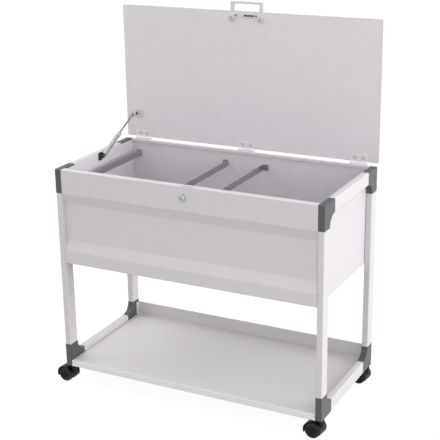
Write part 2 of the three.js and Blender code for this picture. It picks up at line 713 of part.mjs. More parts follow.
/** The bracket on the tub's side: a plate with a boss and the lower pivot pin. */
function tubBracket() {
  const plateFace = -TUB_INNER_HALF + FIT - STRUT_X;
  const plate = [plateFace, plateFace + BRACKET_THICK];
  const top = STRUT_TUB_DROP - FIT;
  return join(
    block(plate, [-BRACKET_WIDTH / 2, BRACKET_WIDTH / 2], [top - BRACKET_HEIGHT, top]),
    bar('x', BRACKET_BOSS_RADIUS, plateFace, -EYE_HALF - FIT, PIN_SIDES),
    bar('x', STRUT_PIN_RADIUS, plateFace, EYE_HALF + BRACKET_THICK, PIN_SIDES),
  );
}

/** The bracket on the lid: a foot on the inner skin and an ear beside the rod's eye. */
function lidBracket() {
  const back = LID_SETBACK - FIT;
  const rise = [STRUT_LID_UP - BRACKET_HEIGHT / 2, STRUT_LID_UP + BRACKET_HEIGHT / 2];
  const ear = [EAR_X, EAR_X + BRACKET_THICK];
  const earRise = [STRUT_LID_UP - STRUT_EYE_RADIUS, STRUT_LID_UP + STRUT_EYE_RADIUS];
  return join(
    block([EAR_X, EAR_X + BRACKET_WIDTH], [back - BRACKET_THICK, back], rise),
    block(ear, [-STRUT_LID_OUT - STRUT_EYE_RADIUS, back], earRise),
  );
}

function addStrut() {
  const strut = new THREE.Group();
  strut.name = 'gas_strut';
  strut.position.set(STRUT_X, STRUT_TUB_Y, STRUT_TUB_Z);
  strut.rotation.x = Math.atan2(STRUT_RISE_OPEN, STRUT_RUN_OPEN);
  cart.add(strut);
  addPart(strut, 'strut_tube', strutTube(), chrome());
  addPart(strut, 'strut_rod', strutRod(), steel());
  addPart(cart, 'strut_tub_bracket', tubBracket(), blackPlastic()).position.copy(strut.position);
  addPart(lid, 'strut_lid_bracket', lidBracket(), steel()).position.x = STRUT_X;
}

// Castors, drawn about the pivot with the axle behind it along -X

/** A wheel on the +Y side of the web, about the axle. */
function castorWheel() {
  const inner = WEB_WIDTH / 2 + WHEEL_GAP;
  const outer = inner + WHEEL_WIDTH;
  const bore = AXLE_RADIUS + FIT;
  const rimInner = WHEEL_RADIUS - TREAD_ROUND - WHEEL_RIM;
  return turned([
    [bore, inner],
    [WHEEL_RADIUS - TREAD_ROUND / 2, inner],
    [WHEEL_RADIUS, inner + TREAD_ROUND / 2],
    [WHEEL_RADIUS, outer - TREAD_ROUND],
    [WHEEL_RADIUS - TREAD_ROUND, outer],
    [rimInner, outer],
    [rimInner - WHEEL_DISH, outer - WHEEL_DISH],
    [HUB_RADIUS, outer - WHEEL_DISH],
    [HUB_RADIUS, outer],
    [bore, outer],
  ], WHEEL_SIDES);
}

/** A sector of the hood's side view, about the axle, between two arcs. */
function hoodSector(outerRadius, innerRadius, closesUnder) {
  const from = THREE.MathUtils.degToRad(HOOD_FRONT_ANGLE);
  const to = THREE.MathUtils.degToRad(HOOD_BACK_ANGLE);
  const outline = new THREE.Shape();
  outline.absarc(0, 0, outerRadius, from, to);
  if (closesUnder) outline.absarc(0, 0, innerRadius, to, from + 2 * Math.PI);
  else outline.absarc(0, 0, innerRadius, to, from, true);
  return outline;
}

/** A side view drawn out to a width across the castor, about the axle. */
function acrossCastor(outline, width) {
  const geometry = drawnOut(outline, width, HOOD_STEPS);
  geometry.translate(0, 0, -width / 2);
  geometry.rotateX(Math.PI / 2);
  geometry.translate(-CASTOR_TRAIL, 0, AXLE_HEIGHT);
  return geometry;
}

/** The moulded housing: hood, web between the wheels, pivot boss and stem. */
function castorHousing() {
  const top = FRAME_BOTTOM - FIT;
  const midWall = HOOD_INNER + HOOD_WALL / 2;
  const acrossAxle = (radius) => {
    const round = bar('y', radius, -HOOD_WIDTH, HOOD_WIDTH);
    return round.translate(-CASTOR_TRAIL, 0, AXLE_HEIGHT);
  };
  const housing = join(
    cut(bar('z', BOSS_RADIUS, top - BOSS_HEIGHT, top), acrossAxle(midWall)),
    acrossCastor(hoodSector(HOOD_OUTER, HOOD_INNER, false), HOOD_WIDTH),
    acrossCastor(hoodSector(midWall, WEB_HUB_RADIUS, true), WEB_WIDTH),
    bar('z', STEM_RADIUS, top - HOOD_WALL, FRAME_BOTTOM + STEM_LENGTH, PIN_SIDES),
  );
  return cut(housing, acrossAxle(AXLE_RADIUS + FIT));
}

function addCastors() {
  const axleEnd = WEB_WIDTH / 2 + WHEEL_GAP + WHEEL_WIDTH - AXLE_INSET;
  for (const [end, sy] of ENDS) {
    for (const [side, sx] of SIDES) {
      const name = `castor_${end}_${side}`;
      const castor = new THREE.Group();
      castor.name = name;
      castor.position.set(sx * POST_X, sy * POST_Y, 0);
      castor.rotation.z = THREE.MathUtils.degToRad(CASTOR_TURN);
      cart.add(castor);
      addPart(castor, `${name}_housing`, castorHousing(), blackPlastic());
      const parts = [
        ['axle', bar('y', AXLE_RADIUS, -axleEnd, axleEnd, PIN_SIDES), steel()],
        ['wheel_inner', castorWheel(), tread()],
        ['wheel_outer', castorWheel().rotateZ(Math.PI), tread()],
      ];
      for (const [piece, geometry, material] of parts) {
        addPart(castor, `${name}_${piece}`, geometry, material).position.set(-CASTOR_TRAIL, 0, AXLE_HEIGHT);
      }
    }
  }
}

addSideFrames();
addTub();
addShelf();
addLid();
addLock();
addStrut();
addCastors();

// The origin is the middle of the cart's outline, on the floor.
const outline = new THREE.Box3().setFromObject(cart, true);
const middle = outline.getCenter(new THREE.Vector3());
cart.position.set(-middle.x, -middle.y, -outline.min.z);

export default cart;
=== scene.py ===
"""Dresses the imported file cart: folded sheet, tube frames, mouldings, hinges, lock, strut and castors.

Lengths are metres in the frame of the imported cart: X to the right, Y to the back, Z up from the floor.
"""
import json
import logging
import math
from dataclasses import dataclass, replace
from enum import Enum
from typing import Callable, Iterable, Sequence

import bmesh
import bpy
from mathutils import Matrix, Vector


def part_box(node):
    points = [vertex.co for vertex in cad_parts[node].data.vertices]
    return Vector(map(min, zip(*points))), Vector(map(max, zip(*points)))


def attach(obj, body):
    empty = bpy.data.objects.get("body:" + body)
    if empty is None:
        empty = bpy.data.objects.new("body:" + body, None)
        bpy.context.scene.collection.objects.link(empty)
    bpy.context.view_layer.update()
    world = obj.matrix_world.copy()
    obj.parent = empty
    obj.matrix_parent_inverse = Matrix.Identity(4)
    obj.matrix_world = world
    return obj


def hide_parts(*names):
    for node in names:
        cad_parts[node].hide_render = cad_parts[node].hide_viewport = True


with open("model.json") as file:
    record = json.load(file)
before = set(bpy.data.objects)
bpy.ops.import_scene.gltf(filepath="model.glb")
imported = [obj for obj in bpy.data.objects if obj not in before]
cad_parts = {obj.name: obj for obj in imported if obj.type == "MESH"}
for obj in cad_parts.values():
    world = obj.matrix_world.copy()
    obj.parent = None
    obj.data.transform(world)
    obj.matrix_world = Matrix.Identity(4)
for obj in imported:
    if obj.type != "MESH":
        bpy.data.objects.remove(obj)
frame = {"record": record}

LOG = logging.getLogger("file_cart")
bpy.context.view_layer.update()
JOINTS = {joint["name"]: joint for joint in frame["record"]["behaviour"]["joints"]}
SIDES = ("left", "right")
ENDS = ("front", "rear")
LEVELS = ("bottom", "top")
AXIS_X, AXIS_Y, AXIS_Z = Vector((1, 0, 0)), Vector((0, 1, 0)), Vector((0, 0, 1))
FIT = 0.0003
SHEET = 0.0012

Point2 = tuple[float, float]
Colour = tuple[int, int, int]
Values = dict[str | int, object]


# Drawing


class Run(Enum):
    """The axis that a flat drawing is drawn out along, as the directions of its across, up and out axes."""

    ALONG_X = ((0, 1, 0), (0, 0, 1), (1, 0, 0))
    ALONG_Y = ((1, 0, 0), (0, 0, 1), (0, 1, 0))
    ALONG_Z = ((1, 0, 0), (0, 1, 0), (0, 0, 1))

    def at(self, x: float = 0.0, y: float = 0.0, z: float = 0.0) -> Matrix:
        """The place of a drawing whose origin is at a point."""
        return placed(*map(Vector, self.value), Vector((x, y, z)))

    def measure(self, size: Vector) -> tuple[float, float, float]:
        """A box's size across, up and out of the drawing."""
        return tuple(size.dot(Vector(axis)) for axis in self.value)


def placed(across: Vector, up: Vector, out: Vector, origin: Vector) -> Matrix:
    """The place of a drawing from its three axes and its origin.

    Args:
        across: Direction of the drawing's first axis.
        up: Direction of its second axis.
        out: Direction in which it is drawn out.
        origin: Where its own origin lies.

    Returns:
        The matrix that carries the drawing's points to the cart.
    """
    place = Matrix((across, up, out)).transposed().to_4x4()
    place.translation = origin
    return place


def arc(radius: float, start: float, end: float, steps: int) -> list[Point2]:
    """Points on an arc about the origin.

    Args:
        radius: Radius of the arc.
        start: First angle in degrees.
        end: Last angle in degrees.
        steps: How many equal steps the arc has.

    Returns:
        The points, both ends included.
    """
    angles = [math.radians(start + (end - start) * i / steps) for i in range(steps + 1)]
    return [(radius * math.cos(angle), radius * math.sin(angle)) for angle in angles]


def rounded_path(
    corners: Sequence[Point2], radii: float | Sequence[float], steps: int = 4, closed: bool = False,
) -> list[Point2]:
    """Rounds the corners of a path.

    Args:
        corners: The path's sharp corners in order.
        radii: One radius for all corners, or one for each; a radius of 0 leaves the corner sharp.
        steps: Steps in each rounded corner.
        closed: Whether the last corner joins the first; otherwise the two ends stay sharp.

    Returns:
        The points of the rounded path.
    """
    count = len(corners)
    each = [radii] * count if isinstance(radii, (int, float)) else list(radii)
    path: list[Point2] = []
    for i, corner in enumerate(corners):
        if each[i] <= 0 or (not closed and i in (0, count - 1)):
            path.append(tuple(corner))
            continue
        here = Vector(corner)
        back = (Vector(corners[i - 1]) - here).normalized()
        ahead = (Vector(corners[(i + 1) % count]) - here).normalized()
        half = back.angle(ahead) / 2
        centre = here + (back + ahead).normalized() * (each[i] / math.sin(half))
        start = here + back * (each[i] / math.tan(half)) - centre
        end = here + ahead * (each[i] / math.tan(half)) - centre
        first = math.atan2(start.y, start.x)
        turn = (math.atan2(end.y, end.x) - first + math.pi) % math.tau - math.pi
        for step in range(steps + 1):
            angle = first + turn * step / steps
            path.append((centre.x + each[i] * math.cos(angle), centre.y + each[i] * math.sin(angle)))
    return path


def rectangle(width: float, height: float, radius: float, steps: int = 4) -> list[Point2]:
    """A closed rectangle with round corners about the origin."""
    x, y = width / 2, height / 2
    return rounded_path([(-x, -y), (x, -y), (x, y), (-x, y)], radius, steps, closed=True)


def parallel(path: Sequence[Point2], distance: float) -> list[Point2]:
    """A path beside an open path.

    Args:
        path: The path's points.
        distance: How far to its left the new path runs.

    Returns:
        As many points as the path has.
    """
    points = [Vector(point) for point in path]
    steps = [(b - a).normalized() for a, b in zip(points, points[1:])]
    moved: list[Point2] = []
    for i, point in enumerate(points):
        before, after = steps[max(i - 1, 0)], steps[min(i, len(steps) - 1)]
        heading = (before + after).normalized()
        stretch = distance / max(heading.dot(after), 0.3)
        moved.append((point.x - heading.y * stretch, point.y + heading.x * stretch))
    return moved


def sheet_outline(path: Sequence[Point2], thickness: float) -> list[Point2]:
    """The closed outline of a sheet that follows a path, with its thickness to the left of the path."""
    return [*path, *reversed(parallel(path, thickness))]


class Carving(Enum):
    """What a second solid does to a draft."""

    JOIN = "UNION"
    CUT = "DIFFERENCE"


class Draft:
    """A closed mesh in the making. Faces that soften an edge are marked for the finishes."""

    MARK = "edge"

    def __init__(self) -> None:
        """Starts empty."""
        self.mesh = bmesh.new()
        self.mesh.faces.layers.float.new(self.MARK)

    def loft(self, rings: Sequence[Sequence[Vector]], around: bool = False) -> "Draft":
        """Skins a run of closed rings.

        Args:
            rings: Rings of equal length, in order.
            around: Whether the last ring joins the first; otherwise both are capped.

        Returns:
            The draft itself.
        """
        rows = [[self.mesh.verts.new(point) for point in ring] for ring in rings]
        pairs = list(zip(rows, rows[1:]))
        if around:
            pairs.append((rows[-1], rows[0]))
        for low, high in pairs:
            for i, start in enumerate(low):
                j = (i + 1) % len(low)
                self.mesh.faces.new((start, low[j], high[j], high[i]))
        if not around:
            caps = [self.mesh.faces.new(rows[0]), self.mesh.faces.new(rows[-1])]
            for cap in caps:
                cap.normal_update()
            bmesh.ops.triangulate(self.mesh, faces=caps)
        return self

    def layers(self, place: Matrix, levels: Iterable[tuple[Sequence[Point2], float]], around: bool = False) -> "Draft":
        """Skins flat outlines that lie at given levels of one place.

        Args:
            place: The drawing's place.
            levels: Each outline with its distance along the drawing's out axis.
            around: Whether the last outline joins the first.

        Returns:
            The draft itself.
        """
        rings = [[place @ Vector((x, y, level)) for x, y in outline] for outline, level in levels]
        return self.loft(rings, around)

    def prism(self, outline: Sequence[Point2], place: Matrix, low: float, high: float) -> "Draft":
        """Draws a closed outline out between two levels."""
        return self.layers(place, [(outline, low), (outline, high)])

    def block(self, low: Vector, high: Vector) -> "Draft":
        """A box between two corners."""
        outline = [(low.x, low.y), (high.x, low.y), (high.x, high.y), (low.x, high.y)]
        return self.prism(outline, Run.ALONG_Z.at(), low.z, high.z)

    def turned(self, profile: Sequence[Point2], place: Matrix, sides: int = 48) -> "Draft":
        """Turns a closed profile round the out axis of a place.

        Args:
            profile: Points of radius and distance along the axis; points on the axis become poles.
            place: Where the axis lies.
            sides: Facets round the axis.

        Returns:
            The draft itself.
        """
        rings = []
        for i in range(sides):
            angle = math.tau * i / sides
            rings.append([place @ Vector((r * math.cos(angle), r * math.sin(angle), t)) for r, t in profile])
        self.loft(rings, around=True)
        bmesh.ops.remove_doubles(self.mesh, verts=self.mesh.verts, dist=1e-7)
        return self

    def soften(self, width: float, steps: int = 2, sharper: float = 35.0) -> "Draft":
        """Rounds every edge sharper than an angle and marks the new faces.

        Args:
            width: How far the rounding reaches from the edge.
            steps: Facets across it.
            sharper: The angle in degrees past which an edge is rounded.

        Returns:
            The draft itself.
        """
        bmesh.ops.recalc_face_normals(self.mesh, faces=self.mesh.faces)
        limit = math.radians(sharper)
        edges = [edge for edge in self.mesh.edges if edge.is_manifold and edge.calc_face_angle(0) > limit]
        made = bmesh.ops.bevel(
            self.mesh, geom=edges, offset=width, offset_type="OFFSET", segments=steps, profile=0.5,
            affect="EDGES", clamp_overlap=True,
        )
        mark = self.mesh.faces.layers.float[self.MARK]
        for face in made["faces"]:
            face[mark] = 1.0
        return self

    def add(self, other: "Draft") -> "Draft":
        """Takes in another draft's faces as they are."""
        carrier = bpy.data.meshes.new("carrier")
        other.mesh.to_mesh(carrier)
        self.mesh.from_mesh(carrier)
        bpy.data.meshes.remove(carrier)
        return self

    def carve(self, tool: "Draft", how: Carving) -> "Draft":
        """Joins a solid to the draft or cuts it away.

        Args:
            tool: The other solid.
            how: Whether it is joined or cut.

        Returns:
            The draft itself.
        """
        work, cutter = self.loose_object("work"), tool.loose_object("cutter")
        change = work.modifiers.new("carve", "BOOLEAN")
        change.operation, change.object, change.solver = how.value, cutter, "EXACT"
        made = settled_mesh(work)
        self.mesh.clear()
        self.mesh.from_mesh(made)
        for obj in (work, cutter):
            bpy.data.objects.remove(obj)
        bpy.data.meshes.remove(made)
        return self

    def loose_object(self, name: str) -> bpy.types.Object:
        """An object in the scene that holds the draft with its faces pointing out."""
        bmesh.ops.recalc_face_normals(self.mesh, faces=self.mesh.faces)
        mesh = bpy.data.meshes.new(name)
        self.mesh.to_mesh(mesh)
        obj = bpy.data.objects.new(name, mesh)
        bpy.context.scene.collection.objects.link(obj)
        return obj

    def assign(self, index: int, test: Callable[[Vector], bool]) -> "Draft":
        """Gives the faces whose centre passes a test another of the piece's finishes."""
        for face in self.mesh.faces:
            if test(face.calc_center_median()):
                face.material_index = index
        return self


def settled_mesh(obj: bpy.types.Object) -> bpy.types.Mesh:
    """A plain mesh of an object as its modifiers leave it."""
    graph = bpy.context.evaluated_depsgraph_get()
    return bpy.data.meshes.new_from_object(obj.evaluated_get(graph), preserve_all_data_layers=True, depsgraph=graph)


# Finishes


def linear(colour: Colour) -> tuple[float, float, float, float]:
    """A display colour of 0 to 255 as the linear colour that shaders take."""
    shares = [value / 255 for value in colour]
    return (*[c / 12.92 if c <= 0.04045 else ((c + 0.055) / 1.055) ** 2.4 for c in shares], 1.0)


class Wiring:
    """Adds and joins the nodes of one tree."""

    def __init__(self, tree: bpy.types.NodeTree) -> None:
        """Works on a tree.

        Args:
            tree: The node tree.
        """
        self.tree = tree

    def add(self, kind: str, inputs: Values | None = None, **settings: object) -> bpy.types.Node:
        """Adds a node.

        Args:
            kind: The node's type.
            inputs: Values or sockets for its inputs, by name or number.
            **settings: Its own properties.

        Returns:
            The new node.
        """
        node = self.tree.nodes.new(kind)
        for key, value in settings.items():
            setattr(node, key, value)
        for key, value in (inputs or {}).items():
            if isinstance(value, bpy.types.NodeSocket):
                self.tree.links.new(value, node.inputs[key])
            else:
                node.inputs[key].default_value = value
        return node

    def math(self, operation: str, *values: object) -> bpy.types.NodeSocket:
        """The result of a Math node on values or sockets."""
        return self.add("ShaderNodeMath", dict(enumerate(values)), operation=operation).outputs[0]


class Effect(Enum):
    """Shader effects that several finishes share, each built once as a node group."""

    TONE = "uneven_tone"
    GRAIN = "surface_grain"
    WEAR = "handled_edges"

    def group(self) -> bpy.types.NodeTree:
        """The effect's node group, built on first use."""
        made = bpy.data.node_groups.get(self.value)
        if made:
            return made
        builders = {Effect.TONE: tone_group, Effect.GRAIN: grain_group, Effect.WEAR: wear_group}
        return builders[self](self.value)


def open_group(
    name: str, takes: dict[str, str], gives: dict[str, str],
) -> tuple[Wiring, bpy.types.Node, bpy.types.Node]:
    """Starts a shader node group.

    Args:
        name: The group's name.
        takes: Socket types of its inputs, by name.
        gives: Socket types of its outputs, by name.

    Returns:
        The wiring of the group, its input node and its output node.
    """
    tree = bpy.data.node_groups.new(name, "ShaderNodeTree")
    for way, sockets in (("INPUT", takes), ("OUTPUT", gives)):
        for label, kind in sockets.items():
            tree.interface.new_socket(label, in_out=way, socket_type=f"NodeSocket{kind}")
    wiring = Wiring(tree)
    return wiring, wiring.add("NodeGroupInput"), wiring.add("NodeGroupOutput")


def tone_group(name: str) -> bpy.types.NodeTree:
    """Colour and roughness that drift a little over the surface."""
    takes = {
        "Place": "Vector", "Scale": "Float", "Colour": "Color", "Spread": "Float", "Roughness": "Float",
        "Rough Spread": "Float",
    }
    wiring, given, result = open_group(name, takes, {"Colour": "Color", "Roughness": "Float"})
    wide = wiring.add("ShaderNodeTexNoise", {
        "Vector": given.outputs["Place"], "Scale": given.outputs["Scale"], "Detail": 5.0, "Roughness": 0.6,
    })
    drift = wiring.add("ShaderNodeMapRange", {0: wide.outputs[0], 1: 0.3, 2: 0.7, 3: -1.0, 4: 1.0}).outputs[0]
    lift = wiring.math("MULTIPLY_ADD", drift, given.outputs["Spread"], 1.0)
    shade = wiring.add("ShaderNodeVectorMath", {0: given.outputs["Colour"], "Scale": lift}, operation="SCALE")
    rough = wiring.math("MULTIPLY_ADD", drift, given.outputs["Rough Spread"], given.outputs["Roughness"])
    wiring.tree.links.new(shade.outputs[0], result.inputs["Colour"])
    wiring.tree.links.new(rough, result.inputs["Roughness"])
    return wiring.tree


def grain_group(name: str) -> bpy.types.NodeTree:
    """The height of a fine texture, drawn out along one direction where it is brushed."""
    takes = {"Place": "Vector", "Scale": "Float", "Stretch": "Vector"}
    wiring, given, result = open_group(name, takes, {"Height": "Float"})
    drawn = wiring.add("ShaderNodeVectorMath", {
        0: given.outputs["Place"], 1: given.outputs["Stretch"],
    }, operation="MULTIPLY")
    spread = {"Vector": drawn.outputs[0], "Scale": given.outputs["Scale"]}
    fine = wiring.add("ShaderNodeTexNoise", {**spread, "Detail": 3.0})
    cells = wiring.add("ShaderNodeTexVoronoi", spread, feature="SMOOTH_F1")
    height = wiring.math("MULTIPLY_ADD", cells.outputs["Distance"], 0.6, fine.outputs[0])
    wiring.tree.links.new(height, result.inputs["Height"])
    return wiring.tree


def wear_group(name: str) -> bpy.types.NodeTree:
    """Colour that is rubbed in patches along softened edges."""
    takes = {"Place": "Vector", "Colour": "Color", "Worn": "Color", "Amount": "Float"}
    wiring, given, result = open_group(name, takes, {"Colour": "Color"})
    edge = wiring.add("ShaderNodeAttribute", attribute_name=Draft.MARK)
    patches = wiring.add("ShaderNodeTexNoise", {"Vector": given.outputs["Place"], "Scale": 70.0, "Detail": 6.0})
    spots = wiring.add("ShaderNodeMapRange", {0: patches.outputs[0], 1: 0.4, 2: 0.62}).outputs[0]
    rubbed = wiring.math("MULTIPLY", wiring.math("MULTIPLY", edge.outputs["Fac"], spots), given.outputs["Amount"])
    mix = wiring.add("ShaderNodeMix", {
        0: rubbed, 6: given.outputs["Colour"], 7: given.outputs["Worn"],
    }, data_type="RGBA")
    wiring.tree.links.new(mix.outputs[2], result.inputs["Colour"])
    return wiring.tree


@dataclass(frozen=True)
class Finish:
    """A surface finish.

    Attributes:
        name: The material's name.
        slot: The record's material slot; not used.
        colour: Its colour of 0 to 255.
        worn: Its colour where an edge is rubbed.
        roughness: Mean roughness.
        metallic: 1 for bare metal.
        tone: How far the colour drifts, as a share.
        tone_scale: Drifts in a metre.
        rough_spread: How far the roughness drifts.
        grain_scale: Grains in a metre.
        grain_depth: Height of the grain.
        stretch: How the grain is drawn out along X, Y and Z.
        wear: Share of an edge that is rubbed.
        coat: Weight of a clear coat.
        gloss: Strength of the sheen on plastics and paint; 0.5 is plain.
    """

    name: str
    slot: str
    colour: Colour
    worn: Colour
    roughness: float
    metallic: float = 0.0
    tone: float = 0.02
    tone_scale: float = 24.0
    rough_spread: float = 0.05
    grain_scale: float = 900.0
    grain_depth: float = 0.00003
    stretch: tuple[float, float, float] = (1.0, 1.0, 1.0)
    wear: float = 0.3
    coat: float = 0.0
    gloss: float = 0.5

    def material(self) -> bpy.types.Material:
        """The finish's material, built on first use."""
        made = bpy.data.materials.get(self.name)
        if made:
            return made
        made = bpy.data.materials.new(self.name)
        made.use_nodes = True
        made.node_tree.nodes.clear()
        wiring = Wiring(made.node_tree)
        place = wiring.add("ShaderNodeTexCoord").outputs["Object"]
        tone = self.effect(wiring, Effect.TONE, {
            "Place": place, "Scale": self.tone_scale, "Colour": linear(self.colour), "Spread": self.tone,
            "Roughness": self.roughness, "Rough Spread": self.rough_spread,
        })
        wear = self.effect(wiring, Effect.WEAR, {
            "Place": place, "Colour": tone.outputs["Colour"], "Worn": linear(self.worn), "Amount": self.wear,
        })
        grain = self.effect(wiring, Effect.GRAIN, {"Place": place, "Scale": self.grain_scale, "Stretch": self.stretch})
        bump = wiring.add("ShaderNodeBump", {
            "Height": grain.outputs["Height"], "Distance": self.grain_depth, "Strength": 1.0,
        })
        shader = wiring.add("ShaderNodeBsdfPrincipled", {
            "Base Color": wear.outputs["Colour"], "Roughness": tone.outputs["Roughness"], "Normal": bump.outputs[0],
            "Metallic": self.metallic, "Coat Weight": self.coat, "Specular IOR Level": self.gloss,
        })
        wiring.add("ShaderNodeOutputMaterial", {"Surface": shader.outputs[0]})
        return made

    @staticmethod
    def effect(wiring: Wiring, effect: Effect, inputs: Values) -> bpy.types.Node:
        """Places a shared effect with its own values.

        Args:
            wiring: The material's wiring.
            effect: Which effect.
            inputs: Its inputs by name.

        Returns:
            The group node.
        """
        return wiring.add("ShaderNodeGroup", inputs, node_tree=effect.group())


PAINT = Finish("powder_coat_grey", "powder_coat", (203, 199, 203), (226, 225, 227), 0.46)
# The lid's copy of the powder coat is lighter than the same paint elsewhere: painted light for the brighter light on
# the lid.
LIT_LID_PAINT = replace(PAINT, name="powder_coat_lid_lit", colour=(213, 209, 213))
SHELF_PAINT = replace(PAINT, name="powder_coat_shelf", colour=(204, 201, 204), roughness=0.40, rough_spread=0.01,
                      tone=0.008, grain_depth=0.0000008, wear=0.0)
# The lip's copy of the shelf's powder coat is lighter: a painted highlight along the shelf's front lip.
LIT_LIP_PAINT = replace(PAINT, name="powder_coat_lip_lit", colour=(225, 222, 225))
CORNER_PLASTIC = Finish(
    "moulded_corner", "connector_plastic", (76, 77, 79), (108, 109, 112), 0.46, tone=0.06, tone_scale=60.0,
    grain_scale=1600.0, grain_depth=0.00005,
)
CASTOR_PLASTIC = Finish(
    "castor_nylon", "castor_plastic", (13, 13, 14), (34, 34, 36), 0.4, gloss=0.2, tone=0.06, grain_scale=1500.0,
    grain_depth=0.00003,
)
TREAD = Finish(
    "wheel_tread_grey", "wheel_tread", (34, 34, 37), (64, 64, 66), 0.62, tone=0.1, tone_scale=90.0,
    grain_scale=700.0, grain_depth=0.00006,
)
PLATED = Finish(
    "pale_zinc", "steel", (226, 223, 226), (234, 232, 234), 0.42, metallic=0.25, tone=0.03, tone_scale=80.0,
    grain_scale=900.0, grain_depth=0.00001,
)
STEEL = Finish(
    "zinc_steel", "steel", (176, 178, 181), (205, 206, 208), 0.36, metallic=1.0, tone=0.07, tone_scale=70.0,
    rough_spread=0.08, grain_scale=500.0, grain_depth=0.00001, stretch=(1.0, 6.0, 6.0),
)
NICKEL = Finish(
    "bright_nickel", "chrome", (182, 183, 185), (204, 205, 207), 0.14, metallic=1.0, tone=0.03, rough_spread=0.04,
    grain_scale=1500.0, grain_depth=0.000002,
)
TUBE_STEEL = replace(NICKEL, name="polished_tube", colour=(198, 199, 201))
ROD_STEEL = replace(STEEL, name="ground_rod", colour=(150, 151, 154))
# Duller zinc for brackets and screws; on the lid's hinge leaves it is painted shade in the screws' sunk seats.
BRACKET_ZINC_AND_SHADE = replace(PLATED, name="dull_zinc_and_shade", colour=(204, 202, 205))
GRIP = Finish(
    "grip_grey", "handle_plastic", (206, 206, 208), (222, 222, 223), 0.44, grain_scale=1400.0, grain_depth=0.00003,
)
RUBBER = Finish(
    "buffer_grey", "buffer_rubber", (186, 186, 189), (200, 200, 202), 0.66, tone=0.04, tone_scale=120.0,
    grain_scale=1800.0, grain_depth=0.00004,
)
DARK_SCREW = Finish(
    "black_oxide", "steel", (40, 40, 42), (78, 78, 80), 0.45, metallic=0.6, tone=0.1, tone_scale=200.0,
    grain_scale=1500.0, grain_depth=0.00001,
)
# Black moulded clips; in the lock's keyway the same black is painted shade.
DARK_CLIP_AND_SHADE = Finish(
    "clip_black_and_shade", "castor_plastic", (38, 38, 41), (64, 64, 66), 0.5, grain_scale=1300.0, grain_depth=0.00003,
)


def make_piece(draft: Draft, name: str, body: str, finishes: Finish | Sequence[Finish], *nodes: str) -> bpy.types.Object:
    """Turns a draft into a finished piece of the cart.

    Args:
        draft: The mesh, which is closed.
        name: The piece's name.
        body: The body that it rides on.
        finishes: Its finish, or its finishes in the order of the draft's assignments.
        *nodes: The CAD nodes that it stands for.

    Returns:
        The piece.
    """
    dressed = [finishes] if isinstance(finishes, Finish) else list(finishes)
    piece = draft.loose_object(name)
    mesh = piece.data
    mesh.shade_smooth()
    mesh.set_sharp_from_angle(angle=math.radians(40))
    even = piece.modifiers.new("even_normals", "WEIGHTED_NORMAL")
    even.keep_sharp, even.weight = True, 90
    settled = settled_mesh(piece)
    piece.modifiers.clear()
    piece.data = settled
    settled.name = name
    bpy.data.meshes.remove(mesh)
    for finish in dressed:
        settled.materials.append(finish.material())
    register(piece, body, dressed[0], *nodes)
    return piece


def register(piece: bpy.types.Object, body: str, finish: Finish, *nodes: str) -> None:
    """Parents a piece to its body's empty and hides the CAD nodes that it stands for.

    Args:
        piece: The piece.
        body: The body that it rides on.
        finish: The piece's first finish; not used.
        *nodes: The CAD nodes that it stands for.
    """
    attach(piece, body)
    if nodes:
        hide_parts(*nodes)
    LOG.info("%s rides on %s: %d faces", piece.name, body, len(piece.data.polygons))


# Screws


@dataclass(frozen=True)
class Screw:
    """A screw head that sits on a surface.

    Attributes:
        place: The middle of its seat.
        facing: The way it looks.
        radius: Radius of the head.
    """

    place: Vector
    facing: Vector
    radius: float


